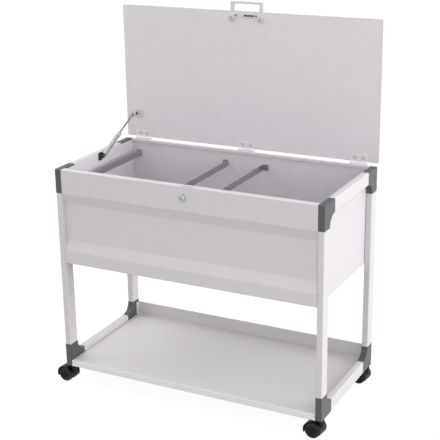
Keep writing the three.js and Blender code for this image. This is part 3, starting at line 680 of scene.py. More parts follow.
@dataclass
class ScrewSet:
    """Screw heads of one finish on one body, set by Geometry Nodes.

    Attributes:
        name: The piece's name.
        body: The body that the screws ride on.
        finish: Their finish.
        seed: Seed of the way their sockets are turned.
        rise: Height of a head for a radius of 1.
        socket: Corner radius of the hexagon socket for a radius of 1.
        sides: Facets round a head.
    """

    name: str
    body: str
    finish: Finish
    seed: int
    rise: float = 0.34
    socket: float = 0.5
    sides: int = 24

    def head(self) -> bpy.types.Object:
        """The head of one screw, with a radius of 1 and its seat at the origin."""
        rise, draft = self.rise, Draft()
        round_rings = [(1.0, 0.0), (1.0, rise * 0.35), (0.93, rise * 0.75), (0.78, rise)]
        levels = [(arc(radius, 0, 360, self.sides)[:-1], level) for radius, level in round_rings]
        hexagon = []
        for i in range(self.sides):
            angle = math.tau * i / self.sides
            reach = self.socket * math.cos(math.pi / 6) / math.cos(angle % (math.pi / 3) - math.pi / 6)
            hexagon.append((reach * math.cos(angle), reach * math.sin(angle)))
        levels += [(hexagon, rise), (hexagon, rise * 0.3)]
        obj = draft.layers(Run.ALONG_Z.at(), levels).loose_object("screw_head")
        obj.data.shade_smooth()
        obj.data.set_sharp_from_angle(angle=math.radians(35))
        return obj

    @staticmethod
    def tree() -> bpy.types.NodeTree:
        """The nodes that set a head on every point, built on first use."""
        made = bpy.data.node_groups.get("screw_heads")
        if made:
            return made
        made = bpy.data.node_groups.new("screw_heads", "GeometryNodeTree")
        takes = {"Places": "Geometry", "Head": "Object", "Finish": "Material", "Seed": "Int"}
        for label, kind in takes.items():
            made.interface.new_socket(label, in_out="INPUT", socket_type=f"NodeSocket{kind}")
        made.interface.new_socket("Screws", in_out="OUTPUT", socket_type="NodeSocketGeometry")
        wiring = Wiring(made)
        given, result = wiring.add("NodeGroupInput"), wiring.add("NodeGroupOutput")
        facing = wiring.add("GeometryNodeInputNamedAttribute", {"Name": "facing"}, data_type="FLOAT_VECTOR")
        radius = wiring.add("GeometryNodeInputNamedAttribute", {"Name": "radius"}, data_type="FLOAT")
        aligned = wiring.add("FunctionNodeAlignRotationToVector", {"Vector": facing.outputs[0]}, axis="Z")
        chance = wiring.add("FunctionNodeRandomValue", {"Seed": given.outputs["Seed"]}, data_type="FLOAT")
        turn = wiring.math("MULTIPLY", chance.outputs[1], math.tau)
        about = wiring.add("ShaderNodeCombineXYZ", {"Z": turn})
        spin = wiring.add("FunctionNodeEulerToRotation", {0: about.outputs[0]})
        turned = wiring.add("FunctionNodeRotateRotation", {0: aligned.outputs[0], 1: spin.outputs[0]}, rotation_space="LOCAL")
        head = wiring.add("GeometryNodeObjectInfo", {"Object": given.outputs["Head"]})
        heads = wiring.add("GeometryNodeInstanceOnPoints", {
            "Points": given.outputs["Places"], "Instance": head.outputs["Geometry"], "Rotation": turned.outputs[0],
            "Scale": radius.outputs[0],
        })
        solid = wiring.add("GeometryNodeRealizeInstances", {0: heads.outputs[0]})
        coated = wiring.add("GeometryNodeSetMaterial", {"Geometry": solid.outputs[0], "Material": given.outputs["Finish"]})
        made.links.new(coated.outputs[0], result.inputs[0])
        return made

    def build(self, screws: Sequence[Screw]) -> None:
        """Sets the screws as one piece.

        Args:
            screws: Where they sit.
        """
        spots = bpy.data.meshes.new("screw_spots")
        spots.from_pydata([screw.place for screw in screws], [], [])
        spots.attributes.new("facing", "FLOAT_VECTOR", "POINT")
        spots.attributes.new("radius", "FLOAT", "POINT")
        for i, screw in enumerate(screws):
            spots.attributes["facing"].data[i].vector = screw.facing
            spots.attributes["radius"].data[i].value = screw.radius
        carrier = bpy.data.objects.new("screw_spots", spots)
        bpy.context.scene.collection.objects.link(carrier)
        head, tree = self.head(), self.tree()
        values = {"Head": head, "Finish": self.finish.material(), "Seed": self.seed}
        setter = carrier.modifiers.new("screws", "NODES")
        setter.node_group = tree
        for item in tree.interface.items_tree:
            if item.in_out == "INPUT" and item.name in values:
                setter[item.identifier] = values[item.name]
        piece = bpy.data.objects.new(self.name, settled_mesh(carrier))
        bpy.context.scene.collection.objects.link(piece)
        for spare in (carrier, head):
            bpy.data.objects.remove(spare)
        register(piece, self.body, self.finish)


# Sub-assemblies


@dataclass
class SideFrames:
    """Two side frames of rectangular tube joined by moulded corners.

    Attributes:
        wall: Thickness of the tube.
        tube_round: Corner radius of the tube.
        tube_depth: The tube's longer side.
        reach: Length of each arm of a corner from its outer corner.
        sweep: Radius of the hollow between a corner's arms.
        outer_round: Radius of a corner's outer corner.
        soft: Rounding of a corner's edges.
        spigot: Length of the plug in a tube's end.
    """

    wall: float = 0.0015
    tube_round: float = 0.0028
    tube_depth: float = 0.040
    reach: float = 0.077
    sweep: float = 0.0365
    outer_round: float = 0.0025
    soft: float = 0.0013
    spigot: float = 0.030

    def build(self) -> None:
        """Builds the tubes and the corners."""
        for side in SIDES:
            for end in ENDS:
                self.tube(f"post_{end}_{side}", Run.ALONG_Z)
            for level in LEVELS:
                self.tube(f"rail_{level}_{side}", Run.ALONG_Y)
                for end in ENDS:
                    self.corner(level, end, side)

    def tube(self, node: str, run: Run) -> None:
        """Builds one tube.

        Args:
            node: The CAD node of the tube.
            run: The axis that it runs along.
        """
        low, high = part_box(node)
        width, depth, length = run.measure(high - low)
        outer = rectangle(width, depth, self.tube_round, 6)
        inner = rectangle(width - 2 * self.wall, depth - 2 * self.wall, self.tube_round - self.wall, 6)
        ends = [(outer, -length / 2), (outer, length / 2), (inner, length / 2), (inner, -length / 2)]
        draft = Draft().layers(run.at(*((low + high) / 2)), ends, around=True)
        make_piece(draft, f"{node}_tube", "frame", PAINT, node)

    def corner(self, level: str, end: str, side: str) -> None:
        """Builds one moulded corner with its two spigots.

        Args:
            level: Bottom or top.
            end: Front or rear.
            side: Left or right.
        """
        node = f"corner_{level}_{end}_{side}"
        low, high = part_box(node)
        inward = AXIS_Y if end == "front" else -AXIS_Y
        along = AXIS_Z if level == "bottom" else -AXIS_Z
        tip = Vector(((low.x + high.x) / 2, low.y if end == "front" else high.y, low.z if level == "bottom" else high.z))
        place = placed(inward, along, AXIS_X, tip)
        reach, depth, half = self.reach, self.tube_depth, (high.x - low.x) / 2
        corners = [(0, 0), (reach, 0), (reach, depth), (depth, depth), (depth, reach), (0, reach)]
        outline = rounded_path(corners, [self.outer_round, 0, 0, self.sweep, 0, 0], 14, closed=True)
        draft = Draft().prism(outline, place, -half, half).soften(self.soft, 3)
        slack = 2 * (self.wall + FIT)
        plug = rectangle(2 * half - slack, depth - slack, 0.003, 3)
        ends = (reach - self.soft, reach + self.spigot)
        for arm, other in ((inward, along), (along, inward)):
            seat = placed(AXIS_X, other, arm, tip + other * (depth / 2))
            draft.prism(plug, seat, *ends)
        make_piece(draft, f"{node}_moulding", "frame", CORNER_PLASTIC, node)


@dataclass
class Tub:
    """The sheet-steel tub: pressed front panel, rear panel, sides, floor and hanging rails.

    Attributes:
        bend: Outer radius of the folds.
        press: Radius of the pressed recess's edges.
        rim: Depth of the front panel's folded rim.
        rear_rim: Depth of the rear panel's rim.
        lip: Height of the lip behind a rim.
        foot: Depth of the folded foot.
        upper_band: Flat band above the recess.
        top_slope: Height of the recess's upper slope.
        bottom_slope: Height of its lower slope.
        lower_band: Flat band below the recess.
        recess: Depth of the recess.
        end_round: Radius of the panel's upright ends.
        flange_inset: How far rim and foot end inside the face's ends.
        notch: Depth of the notches in a side's top edge.
        spigot: Length of a connector's spigot in a rail.
        rail_thick: Thickness of a hanging rail.
        rail_bend: Radius of its bent tabs.
        lock_hole: Radius of the hole for the lock.
        slot_right: Right end of the cam's slot from the lock's axis.
        slot_left: Left end of that slot.
        slot_near: Front edge of the slot from the panel's face.
        slot_far: Rear edge of the slot.
    """

    bend: float = 0.0026
    press: float = 0.006
    rim: float = 0.022
    rear_rim: float = 0.005
    lip: float = 0.010
    foot: float = 0.018
    upper_band: float = 0.077
    top_slope: float = 0.033
    bottom_slope: float = 0.034
    lower_band: float = 0.042
    recess: float = 0.011
    end_round: float = 0.0014
    flange_inset: float = 0.0012
    notch: float = 0.005
    spigot: float = 0.030
    rail_thick: float = 0.0024
    rail_bend: float = 0.004
    lock_hole: float = 0.0094
    slot_right: float = 0.0364
    slot_left: float = -0.0065
    slot_near: float = 0.0017
    slot_far: float = 0.0062

    def build(self) -> None:
        """Builds the panels and the rails."""
        self.panel("tub_front", AXIS_Y, self.rim, self.recess)
        self.panel("tub_rear", -AXIS_Y, self.rear_rim, 0.0)
        make_piece(Draft().block(*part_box("tub_floor")).soften(0.0004, 2), "tub_floor_sheet", "frame", PAINT, "tub_floor")
        for side in SIDES:
            self.side_panel(f"tub_side_{side}", side)
            for place in ("inner", "outer"):
                self.hanging_rail(f"hanging_rail_{side}_{place}", side)

    def section(self, top: float, bottom: float, rim: float, recess: float) -> list[Point2]:
        """The outer line of a folded panel.

        Args:
            top: Height of the rim.
            bottom: Height of the foot.
            rim: Depth of the rim.
            recess: Depth of the recess; 0 for a flat panel.

        Returns:
            Points of distance behind the face and height, from the lip to the foot.
        """
        fold, press = min(self.bend, rim * 0.45), self.press
        corners = [(rim, top - self.lip), (rim, top), (0, top)]
        radii = [0, fold, fold]
        if recess:
            first, last = top - self.upper_band, bottom + self.lower_band
            corners += [(0, first), (recess, first - self.top_slope), (recess, last + self.bottom_slope), (0, last)]
            radii += [press] * 4
        return rounded_path([*corners, (0, bottom), (self.foot, bottom)], [*radii, self.bend, 0], 5)

    def panel(self, node: str, inward: Vector, rim: float, recess: float) -> None:
        """Builds the front or the rear panel.

        Args:
            node: The CAD node of the panel.
            inward: Direction from the face into the tub.
            rim: Depth of its rim.
            recess: Depth of its recess.
        """
        low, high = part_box(node)
        middle, half = (low.x + high.x) / 2, (high.x - low.x) / 2 - FIT
        face = low.y if inward.y > 0 else high.y
        outline = sheet_outline(self.section(high.z, low.z, rim, recess), SHEET)
        turns = [math.radians(angle) for angle in (85, 60, 30, 0)]
        right = [(half - self.end_round * (1 - math.sin(a)), self.end_round * (1 - math.cos(a))) for a in turns]
        across = right + [(-x, back) for x, back in reversed(right)]
        rings = []
        for x, back in across:
            ring = []
            for d, z in outline:
                inset = math.copysign(self.flange_inset * min(1.0, d / SHEET), x)
                bent = d + back * max(0.0, 1 - d / (self.recess + SHEET))
                ring.append(Vector((middle + x - inset, face + inward.y * bent, z)))
            rings.append(ring)
        draft = Draft().loft(rings)
        if recess:
            self.cut_for_lock(draft, face, high.z)
        make_piece(draft, f"{node}_panel", "frame", PAINT, node)

    def side_panel(self, node: str, side: str) -> None:
        """Builds one side, notched at its upper corners beside the connectors.

        Args:
            node: The CAD node of the side.
            side: The side of the cart.
        """
        low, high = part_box(node)
        front, rear = (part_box(f"corner_top_{end}_{side}") for end in ENDS)
        start, end, drop = front[1].y - self.spigot, rear[0].y + self.spigot, high.z - self.notch
        corners = [(low.y, low.z), (high.y, low.z), (high.y, drop), (end, drop), (end, high.z), (start, high.z),
                   (start, drop), (low.y, drop)]
        outline = rounded_path(corners, [0, 0, 0.001, 0.0015, 0.0015, 0.0015, 0.0015, 0.001], 4, closed=True)
        draft = Draft().prism(outline, Run.ALONG_X.at(), low.x, high.x).soften(0.0004, 2)
        make_piece(draft, f"{node}_sheet", "frame", PAINT, node)

    def cut_for_lock(self, draft: Draft, face: float, top: float) -> None:
        """Cuts the lock's hole and the slot that its cam swings through.

        Args:
            draft: The front panel.
            face: Where its face lies.
            top: Height of its rim.
        """
        x, _, z = JOINTS["lock_turn"]["pos_m"]
        hole = Draft().prism(arc(self.lock_hole, 0, 360, 32)[:-1], Run.ALONG_Y.at(x, face, z), -0.003, 0.004)
        draft.carve(hole, Carving.CUT)
        size = (self.slot_right - self.slot_left, self.slot_far - self.slot_near)
        centre = (x + (self.slot_right + self.slot_left) / 2, face + self.slot_near + size[1] / 2, top)
        slot = Draft().prism(rectangle(*size, 0.0015, 3), Run.ALONG_Z.at(*centre), -0.003, 0.003)
        draft.carve(slot, Carving.CUT)

    def hanging_rail(self, node: str, side: str) -> None:
        """Builds one rail that folders hang on, a strip on edge with bent tabs.

        Args:
            node: The CAD node of the rail.
            side: The side of the cart.
        """
        low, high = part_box(node)
        start, end = (low.x, high.x) if side == "right" else (high.x, low.x)
        corners = [(end, low.y), (start, low.y), (start, high.y), (end, high.y)]
        thick = -self.rail_thick if side == "right" else self.rail_thick
        outline = sheet_outline(rounded_path(corners, self.rail_bend, 6), thick)
        draft = Draft().prism(outline, Run.ALONG_Z.at(), low.z, high.z).soften(0.0004, 2)
        make_piece(draft, f"{node}_strip", "frame", STEEL, node)


@dataclass
class Shelf:
    """The open shelf, folded from one sheet.

    Attributes:
        lip: Height of the front lip.
        lip_return: Depth of the fold under the lip.
        side_drop: Depth of the folds down beside the rails.
        tab: Length of the rear upstand's ends, folded forward along the rails.
        bend: Outer radius of the folds.
    """

    lip: float = 0.022
    lip_return: float = 0.012
    side_drop: float = 0.020
    tab: float = 0.018
    bend: float = 0.0026

    def build(self) -> None:
        """Builds the shelf."""
        low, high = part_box("shelf")
        level, inner = low.z + self.lip, self.bend - SHEET
        fold = [
            (low.y + self.lip_return, low.z), (low.y, low.z), (low.y, level), (high.y - SHEET, level),
            (high.y - SHEET, high.z),
        ]
        line = rounded_path(fold, [0, self.bend, self.bend, inner, 0], 5)
        span = (low.x + self.bend, high.x - self.bend)
        draft = Draft().prism(sheet_outline(line, -SHEET), Run.ALONG_X.at(), *span)
        reach = (low.y + self.bend, high.y - self.bend)
        for edge, start, way in ((low.x, span[0], 1), (high.x, span[1], -1)):
            side = [(start, level), (edge, level), (edge, level - self.side_drop)]
            turned_down = sheet_outline(rounded_path(side, [0, self.bend, 0], 5), way * SHEET)
            draft.prism(turned_down, Run.ALONG_Y.at(), *reach)
            end = [(start, high.y), (edge, high.y), (edge, high.y - self.tab)]
            tab = sheet_outline(rounded_path(end, [0, self.bend, 0], 5), way * SHEET)
            draft.prism(tab, Run.ALONG_Z.at(), level, high.z)
            ends = sorted((edge + way * 0.0003, start + way * 0.0005))
            draft.block(Vector((ends[0], low.y, low.z + 0.0004)), Vector((ends[1], low.y + SHEET, level - 0.0008)))
        draft.soften(0.0003, 1, sharper=60.0)
        # The lip's front faces take the lighter copy of the paint, a painted highlight.
        draft.assign(1, lambda point: point.y < low.y + 0.0008)
        make_piece(draft, "shelf_sheet", "frame", (SHELF_PAINT, LIT_LIP_PAINT), "shelf")


@dataclass
class Lid:
    """The lid with its inner skin, pull handle, catch plate and buffers.

    Attributes:
        skin: Thickness of the sheet.
        fold: Outer radius of the pan's folds.
        corner: Radius of the pan's corners.
        handle_leg: Width of the handle's legs.
        handle_bar: Height of its bar.
        handle_round: Radius of its outer corners.
        handle_soft: Rounding of its edges.
        slot_height: Height of the catch's slot.
        slot_left: Left end of the slot from the lock's axis.
        slot_right: Right end of the slot.
        nose_left: Left end of the window in the inner skin.
    """

    skin: float = 0.0008
    fold: float = 0.003
    corner: float = 0.004
    handle_leg: float = 0.012
    handle_bar: float = 0.007
    handle_round: float = 0.0025
    handle_soft: float = 0.0014
    slot_height: float = 0.006
    slot_left: float = -0.0065
    slot_right: float = 0.029
    nose_left: float = -0.0145

    def build(self) -> None:
        """Builds the lid's pieces."""
        self.pan()
        self.liner()
        self.handle()
        self.catch()
        for side in SIDES:
            self.buffer(f"lid_buffer_{side}")

    def pan(self) -> None:
        """Builds the outer pan with folded sides."""
        low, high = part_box("lid_pan")
        width, height, deep = high.x - low.x, high.z - low.z, high.y - low.y
        place = Run.ALONG_Y.at((low.x + high.x) / 2, low.y, (low.z + high.z) / 2)

        def ring(inset: float) -> list[Point2]:
            """The pan's outline, drawn in from its sides."""
            return rectangle(width - 2 * inset, height - 2 * inset, max(self.corner - inset, 0.0008), 5)

        inner_fold = self.fold - self.skin
        angles = [math.radians(90 * i / 5) for i in range(6)]
        inside = [(ring(self.skin + inner_fold * (1 - math.cos(a))), deep - self.fold + inner_fold * math.sin(a)) for a in angles]
        outside = [(ring(self.fold * (1 - math.cos(a))), deep - self.fold * (1 - math.sin(a))) for a in angles]
        levels = [*reversed(inside), (ring(self.skin), 0.0), (ring(0.0), 0.0), *outside]
        # The pan takes the lighter copy of the powder coat, which is painted light.
        make_piece(Draft().layers(place, levels), "lid_outer_pan", "lid", LIT_LID_PAINT, "lid_pan")

    def liner(self) -> None:
        """Builds the flat inner skin with the window for the cam's nose."""
        low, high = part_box("lid_liner")
        draft = Draft().block(low, high).soften(0.0003, 2)
        draft.carve(self.opening(self.nose_left, low.y - SHEET, high.y + SHEET), Carving.CUT)
        # The skin takes the same lighter copy, painted light.
        make_piece(draft, "lid_inner_skin", "lid", LIT_LID_PAINT, "lid_liner")

    def opening(self, left: float, near: float, far: float) -> Draft:
        """The space of the catch's slot.

        Args:
            left: Its left end from the lock's axis.
            near: Where it starts along Y.
            far: Where it ends along Y.

        Returns:
            The solid to cut away.
        """
        low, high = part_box("catch_plate")
        x = JOINTS["lock_turn"]["pos_m"][0]
        outline = rectangle(self.slot_right - left, self.slot_height, 0.0012, 3)
        place = Run.ALONG_Y.at(x + (left + self.slot_right) / 2, 0, (low.z + high.z) / 2)
        return Draft().prism(outline, place, near, far)

    def handle(self) -> None:
        """Builds the U-shaped pull handle."""
        low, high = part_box("lid_handle")
        leg, under = self.handle_leg, high.z - self.handle_bar
        corners = [
            (low.x, low.z), (low.x + leg, low.z), (low.x + leg, under), (high.x - leg, under), (high.x - leg, low.z),
            (high.x, low.z), (high.x, high.z), (low.x, high.z),
        ]
        outer = self.handle_round
        outline = rounded_path(corners, [0, 0, 0.004, 0.004, 0, 0, outer, outer], 6, closed=True)
        draft = Draft().prism(outline, Run.ALONG_Y.at(), low.y, high.y).soften(self.handle_soft, 4)
        make_piece(draft, "lid_pull_handle", "lid", GRIP, "lid_handle")

    def catch(self) -> None:
        """Builds the slotted catch plate."""
        low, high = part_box("catch_plate")
        outline = rectangle(high.x - low.x, high.z - low.z, 0.002, 4)
        place = Run.ALONG_Y.at((low.x + high.x) / 2, 0, (low.z + high.z) / 2)
        draft = Draft().prism(outline, place, low.y, high.y).soften(0.0005, 2)
        draft.carve(self.opening(self.slot_left, low.y - SHEET, high.y + SHEET), Carving.CUT)
        make_piece(draft, "lid_catch_plate", "lid", PAINT, "catch_plate")

    def buffer(self, node: str) -> None:
        """Builds one round buffer with a dished face.

        Args:
            node: The CAD node of the buffer.
        """
        low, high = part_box(node)
        radius, deep = (high.x - low.x) / 2, high.y - low.y
        corners = [(0, 0), (radius, 0), (radius, deep), (radius * 0.42, deep), (radius * 0.36, deep * 0.6), (0, deep * 0.6)]
        profile = rounded_path(corners, [0, 0.0004, deep * 0.4, 0.0006, 0.0005, 0], 5, closed=True)
        place = placed(AXIS_X, AXIS_Z, -AXIS_Y, Vector(((low.x + high.x) / 2, high.y, (low.z + high.z) / 2)))
        make_piece(Draft().turned(profile, place, 40), f"{node}_rubber", "lid", RUBBER, node)

    def screws(self) -> tuple[list[Screw], list[Screw]]:
        """The screws of the handle, bright, and of the catch plate, dark."""
        low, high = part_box("lid_handle")
        bright = [Screw(Vector((x, low.y, low.z + 0.006)), -AXIS_Y, 0.0026)
                  for x in (low.x + self.handle_leg / 2, high.x - self.handle_leg / 2)]
        low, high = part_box("catch_plate")
        dark = [Screw(Vector((x, low.y, (low.z + high.z) / 2)), -AXIS_Y, 0.0026) for x in (low.x + 0.004, high.x - 0.004)]
        return bright, dark


@dataclass
class Hinges:
    """Three butt hinges between the rear rim and the lid.

    Attributes:
        knuckle: Radius of the knuckles.
        knuckle_length: Length of the middle knuckle.
        pin: Radius of the pin.
        thick: Thickness of the leaves.
        corner: Radius of the leaves' free corners.
        screw_spread: Distance of the screws from the hinge's middle.
        screw_rise: Distance of the screws from the hinge's axis.
        screw: Radius of a screw's head.
        seat: Radius of the sunk seat round it.
        sink: Depth of that seat.
    """

    knuckle: float = 0.004
    knuckle_length: float = 0.025
    pin: float = 0.0018
    thick: float = 0.0017
    corner: float = 0.003
    screw_spread: float = 0.0135
    screw_rise: float = 0.0155
    screw: float = 0.0042
    seat: float = 0.0062
    sink: float = 0.0009

    def build(self) -> None:
        """Builds the leaves of all three hinges."""
        for place in ("left", "middle", "right"):
            self.lid_leaf(f"hinge_lid_leaf_{place}")
            self.rim_leaf(f"hinge_rim_leaf_{place}")

    def barrel(self, draft: Draft, start: float, end: float, y: float, z: float, bore: float) -> None:
        """Adds one knuckle.

        Args:
            draft: The leaf.
            start: Where the knuckle starts along X.
            end: Where it ends.
            y: Place of the hinge's axis along Y.
            z: Height of the axis.
            bore: Radius of its bore.
        """
        corners = [(bore, 0), (self.knuckle, 0), (self.knuckle, end - start), (bore, end - start)]
        profile = rounded_path(corners, [0, 0.0005, 0.0005, 0], 3, closed=True)
        draft.turned(profile, Run.ALONG_X.at(start, y, z), 28)

    def lid_leaf(self, node: str) -> None:
        """Builds the leaf on the lid with the middle knuckle and sunk seats for its screws.

        Args:
            node: The CAD node of the leaf.
        """
        low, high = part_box(node)
        x, (_, y, z) = (low.x + high.x) / 2, JOINTS["lid_hinge"]["pos_m"]
        half, neck = (high.x - low.x) / 2, self.knuckle_length / 2
        foot = z + self.knuckle + FIT
        corners = [(x - half, foot), (x - neck, foot), (x - neck, z), (x + neck, z), (x + neck, foot), (x + half, foot),
                   (x + half, high.z), (x - half, high.z)]
        outline = rounded_path(corners, [0.001, 0, 0, 0, 0, 0.001, self.corner, self.corner], 4, closed=True)
        front = high.y - self.thick
        draft = Draft().prism(outline, Run.ALONG_Y.at(), front, high.y).soften(0.0004, 2)
        seats = [Vector((x + way * self.screw_spread, front, z + self.screw_rise)) for way in (-1, 1)]
        for seat in seats:
            levels = [(arc(self.seat + 0.001 - depth, 0, 360, 32)[:-1], depth) for depth in (-0.001, self.sink)]
            draft.carve(Draft().layers(Run.ALONG_Y.at(*seat), levels), Carving.CUT)
        self.barrel(draft, x - neck, x + neck, y, z, self.pin + FIT)

        def in_shaded_seat(point: Vector) -> bool:
            """Whether a face lies in a screw's sunk seat, which is painted darker as shade."""
            return point.y > front + 0.0001 and any((point - seat).length < self.seat + 0.0008 for seat in seats) and point.y < high.y - 0.0003

        # The seats take the darker zinc: painted shade round the screws.
        draft.assign(1, in_shaded_seat)
        make_piece(draft, f"{node}_plate", "lid", (PLATED, BRACKET_ZINC_AND_SHADE), node)

    def rim_leaf(self, node: str) -> None:
        """Builds the leaf on the rear panel with the outer knuckles and the pin.

        Args:
            node: The CAD node of the leaf.
        """
        low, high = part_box(node)
        x, (_, y, z) = (low.x + high.x) / 2, JOINTS["lid_hinge"]["pos_m"]
        half, neck = (high.x - low.x) / 2, self.knuckle_length / 2 + FIT
        edge = z - self.knuckle - FIT
        corners = [(x - half, low.z), (x + half, low.z), (x + half, z), (x + neck, z), (x + neck, edge), (x - neck, edge),
                   (x - neck, z), (x - half, z)]
        outline = rounded_path(corners, [self.corner, self.corner, 0, 0, 0, 0, 0, 0], 4, closed=True)
        draft = Draft().prism(outline, Run.ALONG_Y.at(), low.y, low.y + self.thick).soften(0.0003, 2)
        for start, end in ((low.x, x - neck), (x + neck, high.x)):
            self.barrel(draft, start, end, y, z, self.pin)
        pin = [(0, 0), (self.pin, 0), (self.pin, high.x - low.x), (0, high.x - low.x)]
        draft.turned(pin, Run.ALONG_X.at(low.x, y, z), 20)
        make_piece(draft, f"{node}_plate", "frame", PLATED, node)

    def screws(self) -> tuple[list[Screw], list[Screw]]:
        """The screws in the lid's leaves and in the rear panel's leaves."""
        on_lid, on_rim = [], []
        _, y, z = JOINTS["lid_hinge"]["pos_m"]
        for place in ("left", "middle", "right"):
            low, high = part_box(f"hinge_rim_leaf_{place}")
            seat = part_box(f"hinge_lid_leaf_{place}")[1].y - self.thick + self.sink
            for way in (-1, 1):
                x = (low.x + high.x) / 2 + way * self.screw_spread
                on_lid.append(Screw(Vector((x, seat, z + self.screw_rise)), -AXIS_Y, self.screw))
                on_rim.append(Screw(Vector((x, low.y + self.thick, z - self.screw_rise)), AXIS_Y, self.screw))
        return on_lid, on_rim


@dataclass
class Lock:
    """The cam lock in the front panel.

    Attributes:
        bezel: Radius of the bezel.
        crown: How far its front curves back to its edge.
        proud: How far the bezel stands out of the panel.
        shank: Radius of the shank in the panel.
        plug: Radius of the plug.
        plug_proud: How far the plug stands out of the bezel.
        keyway: Width, height and depth of the keyway.
        cam_gap: Gap between panel and cam.
        cam_thick: Thickness of the cam.
        cam_width: Width of the cam.
        cam_reach: Length of the cam from the lock's axis.
        nose: How far the cam's nose stands out.
        nose_low: Where the nose starts along the cam.
    """

    bezel: float = 0.011
    crown: float = 0.0055
    proud: float = 0.008
    shank: float = 0.009
    plug: float = 0.0065
    plug_proud: float = 0.0006
    keyway: tuple[float, float, float] = (0.002, 0.008, 0.005)
    cam_gap: float = 0.001
    cam_thick: float = 0.0025
    cam_width: float = 0.010
    cam_reach: float = 0.0483
    nose: float = 0.008
    nose_low: float = 0.043

    def build(self) -> None:
        """Builds the barrel and the plug with its cam."""
        x, face, z = JOINTS["lock_turn"]["pos_m"]
        place = Run.ALONG_Y.at(x, face, z)
        seat, bore = -FIT, self.plug + FIT
        front = seat - self.proud
        wide = self.bezel - bore
        turns = [math.radians(angle) for angle in range(0, 91, 9)]
        dome = [(bore + wide * math.sin(turn), front + self.crown * (1 - math.cos(turn))) for turn in turns]
        profile = [*dome, (self.bezel, seat), (self.shank, seat), (self.shank, SHEET), (bore, SHEET)]
        make_piece(Draft().turned(profile, place, 64), "lock_barrel_bezel", "frame", NICKEL, "lock_barrel")

        tip, cam_front = front - self.plug_proud, SHEET + self.cam_gap
        cam_back = cam_front + self.cam_thick
        face_line = rounded_path([(0, tip), (self.plug, tip), (self.plug, cam_back), (0, cam_back)], [0, 0.0006, 0, 0], 4, closed=True)
        draft = Draft().turned(face_line, place, 48)
        width, height, deep = self.keyway
        keyhole = Draft().prism(rectangle(width, height, 0.0005, 3), place, tip - 0.001, tip + deep)
        draft.carve(keyhole, Carving.CUT)
        half = self.cam_width / 2
        corners = [(-half, -half), (self.cam_reach, -half), (self.cam_reach, half + self.nose), (self.nose_low, half + self.nose),
                   (self.nose_low, half), (-half, half)]
        cam_line = rounded_path(corners, [half * 0.95, 0.001, 0.001, 0.001, 0.001, half * 0.95], 5, closed=True)
        draft.add(Draft().prism(cam_line, place, cam_front, cam_back).soften(0.0004, 2))

        def in_shaded_keyway(point: Vector) -> bool:
            """Whether a face lies in the keyway, which is painted black as shade."""
            away = math.hypot(point.x - x, point.z - z)
            return 0.0001 < point.y - face - tip < deep + 0.0005 and away < self.plug - 0.001

        # The keyway's faces are painted black: painted shade in the slot.
        draft.assign(1, in_shaded_keyway)
        make_piece(draft, "lock_plug_cam", "lock_plug", (NICKEL, DARK_CLIP_AND_SHADE), "lock_plug")


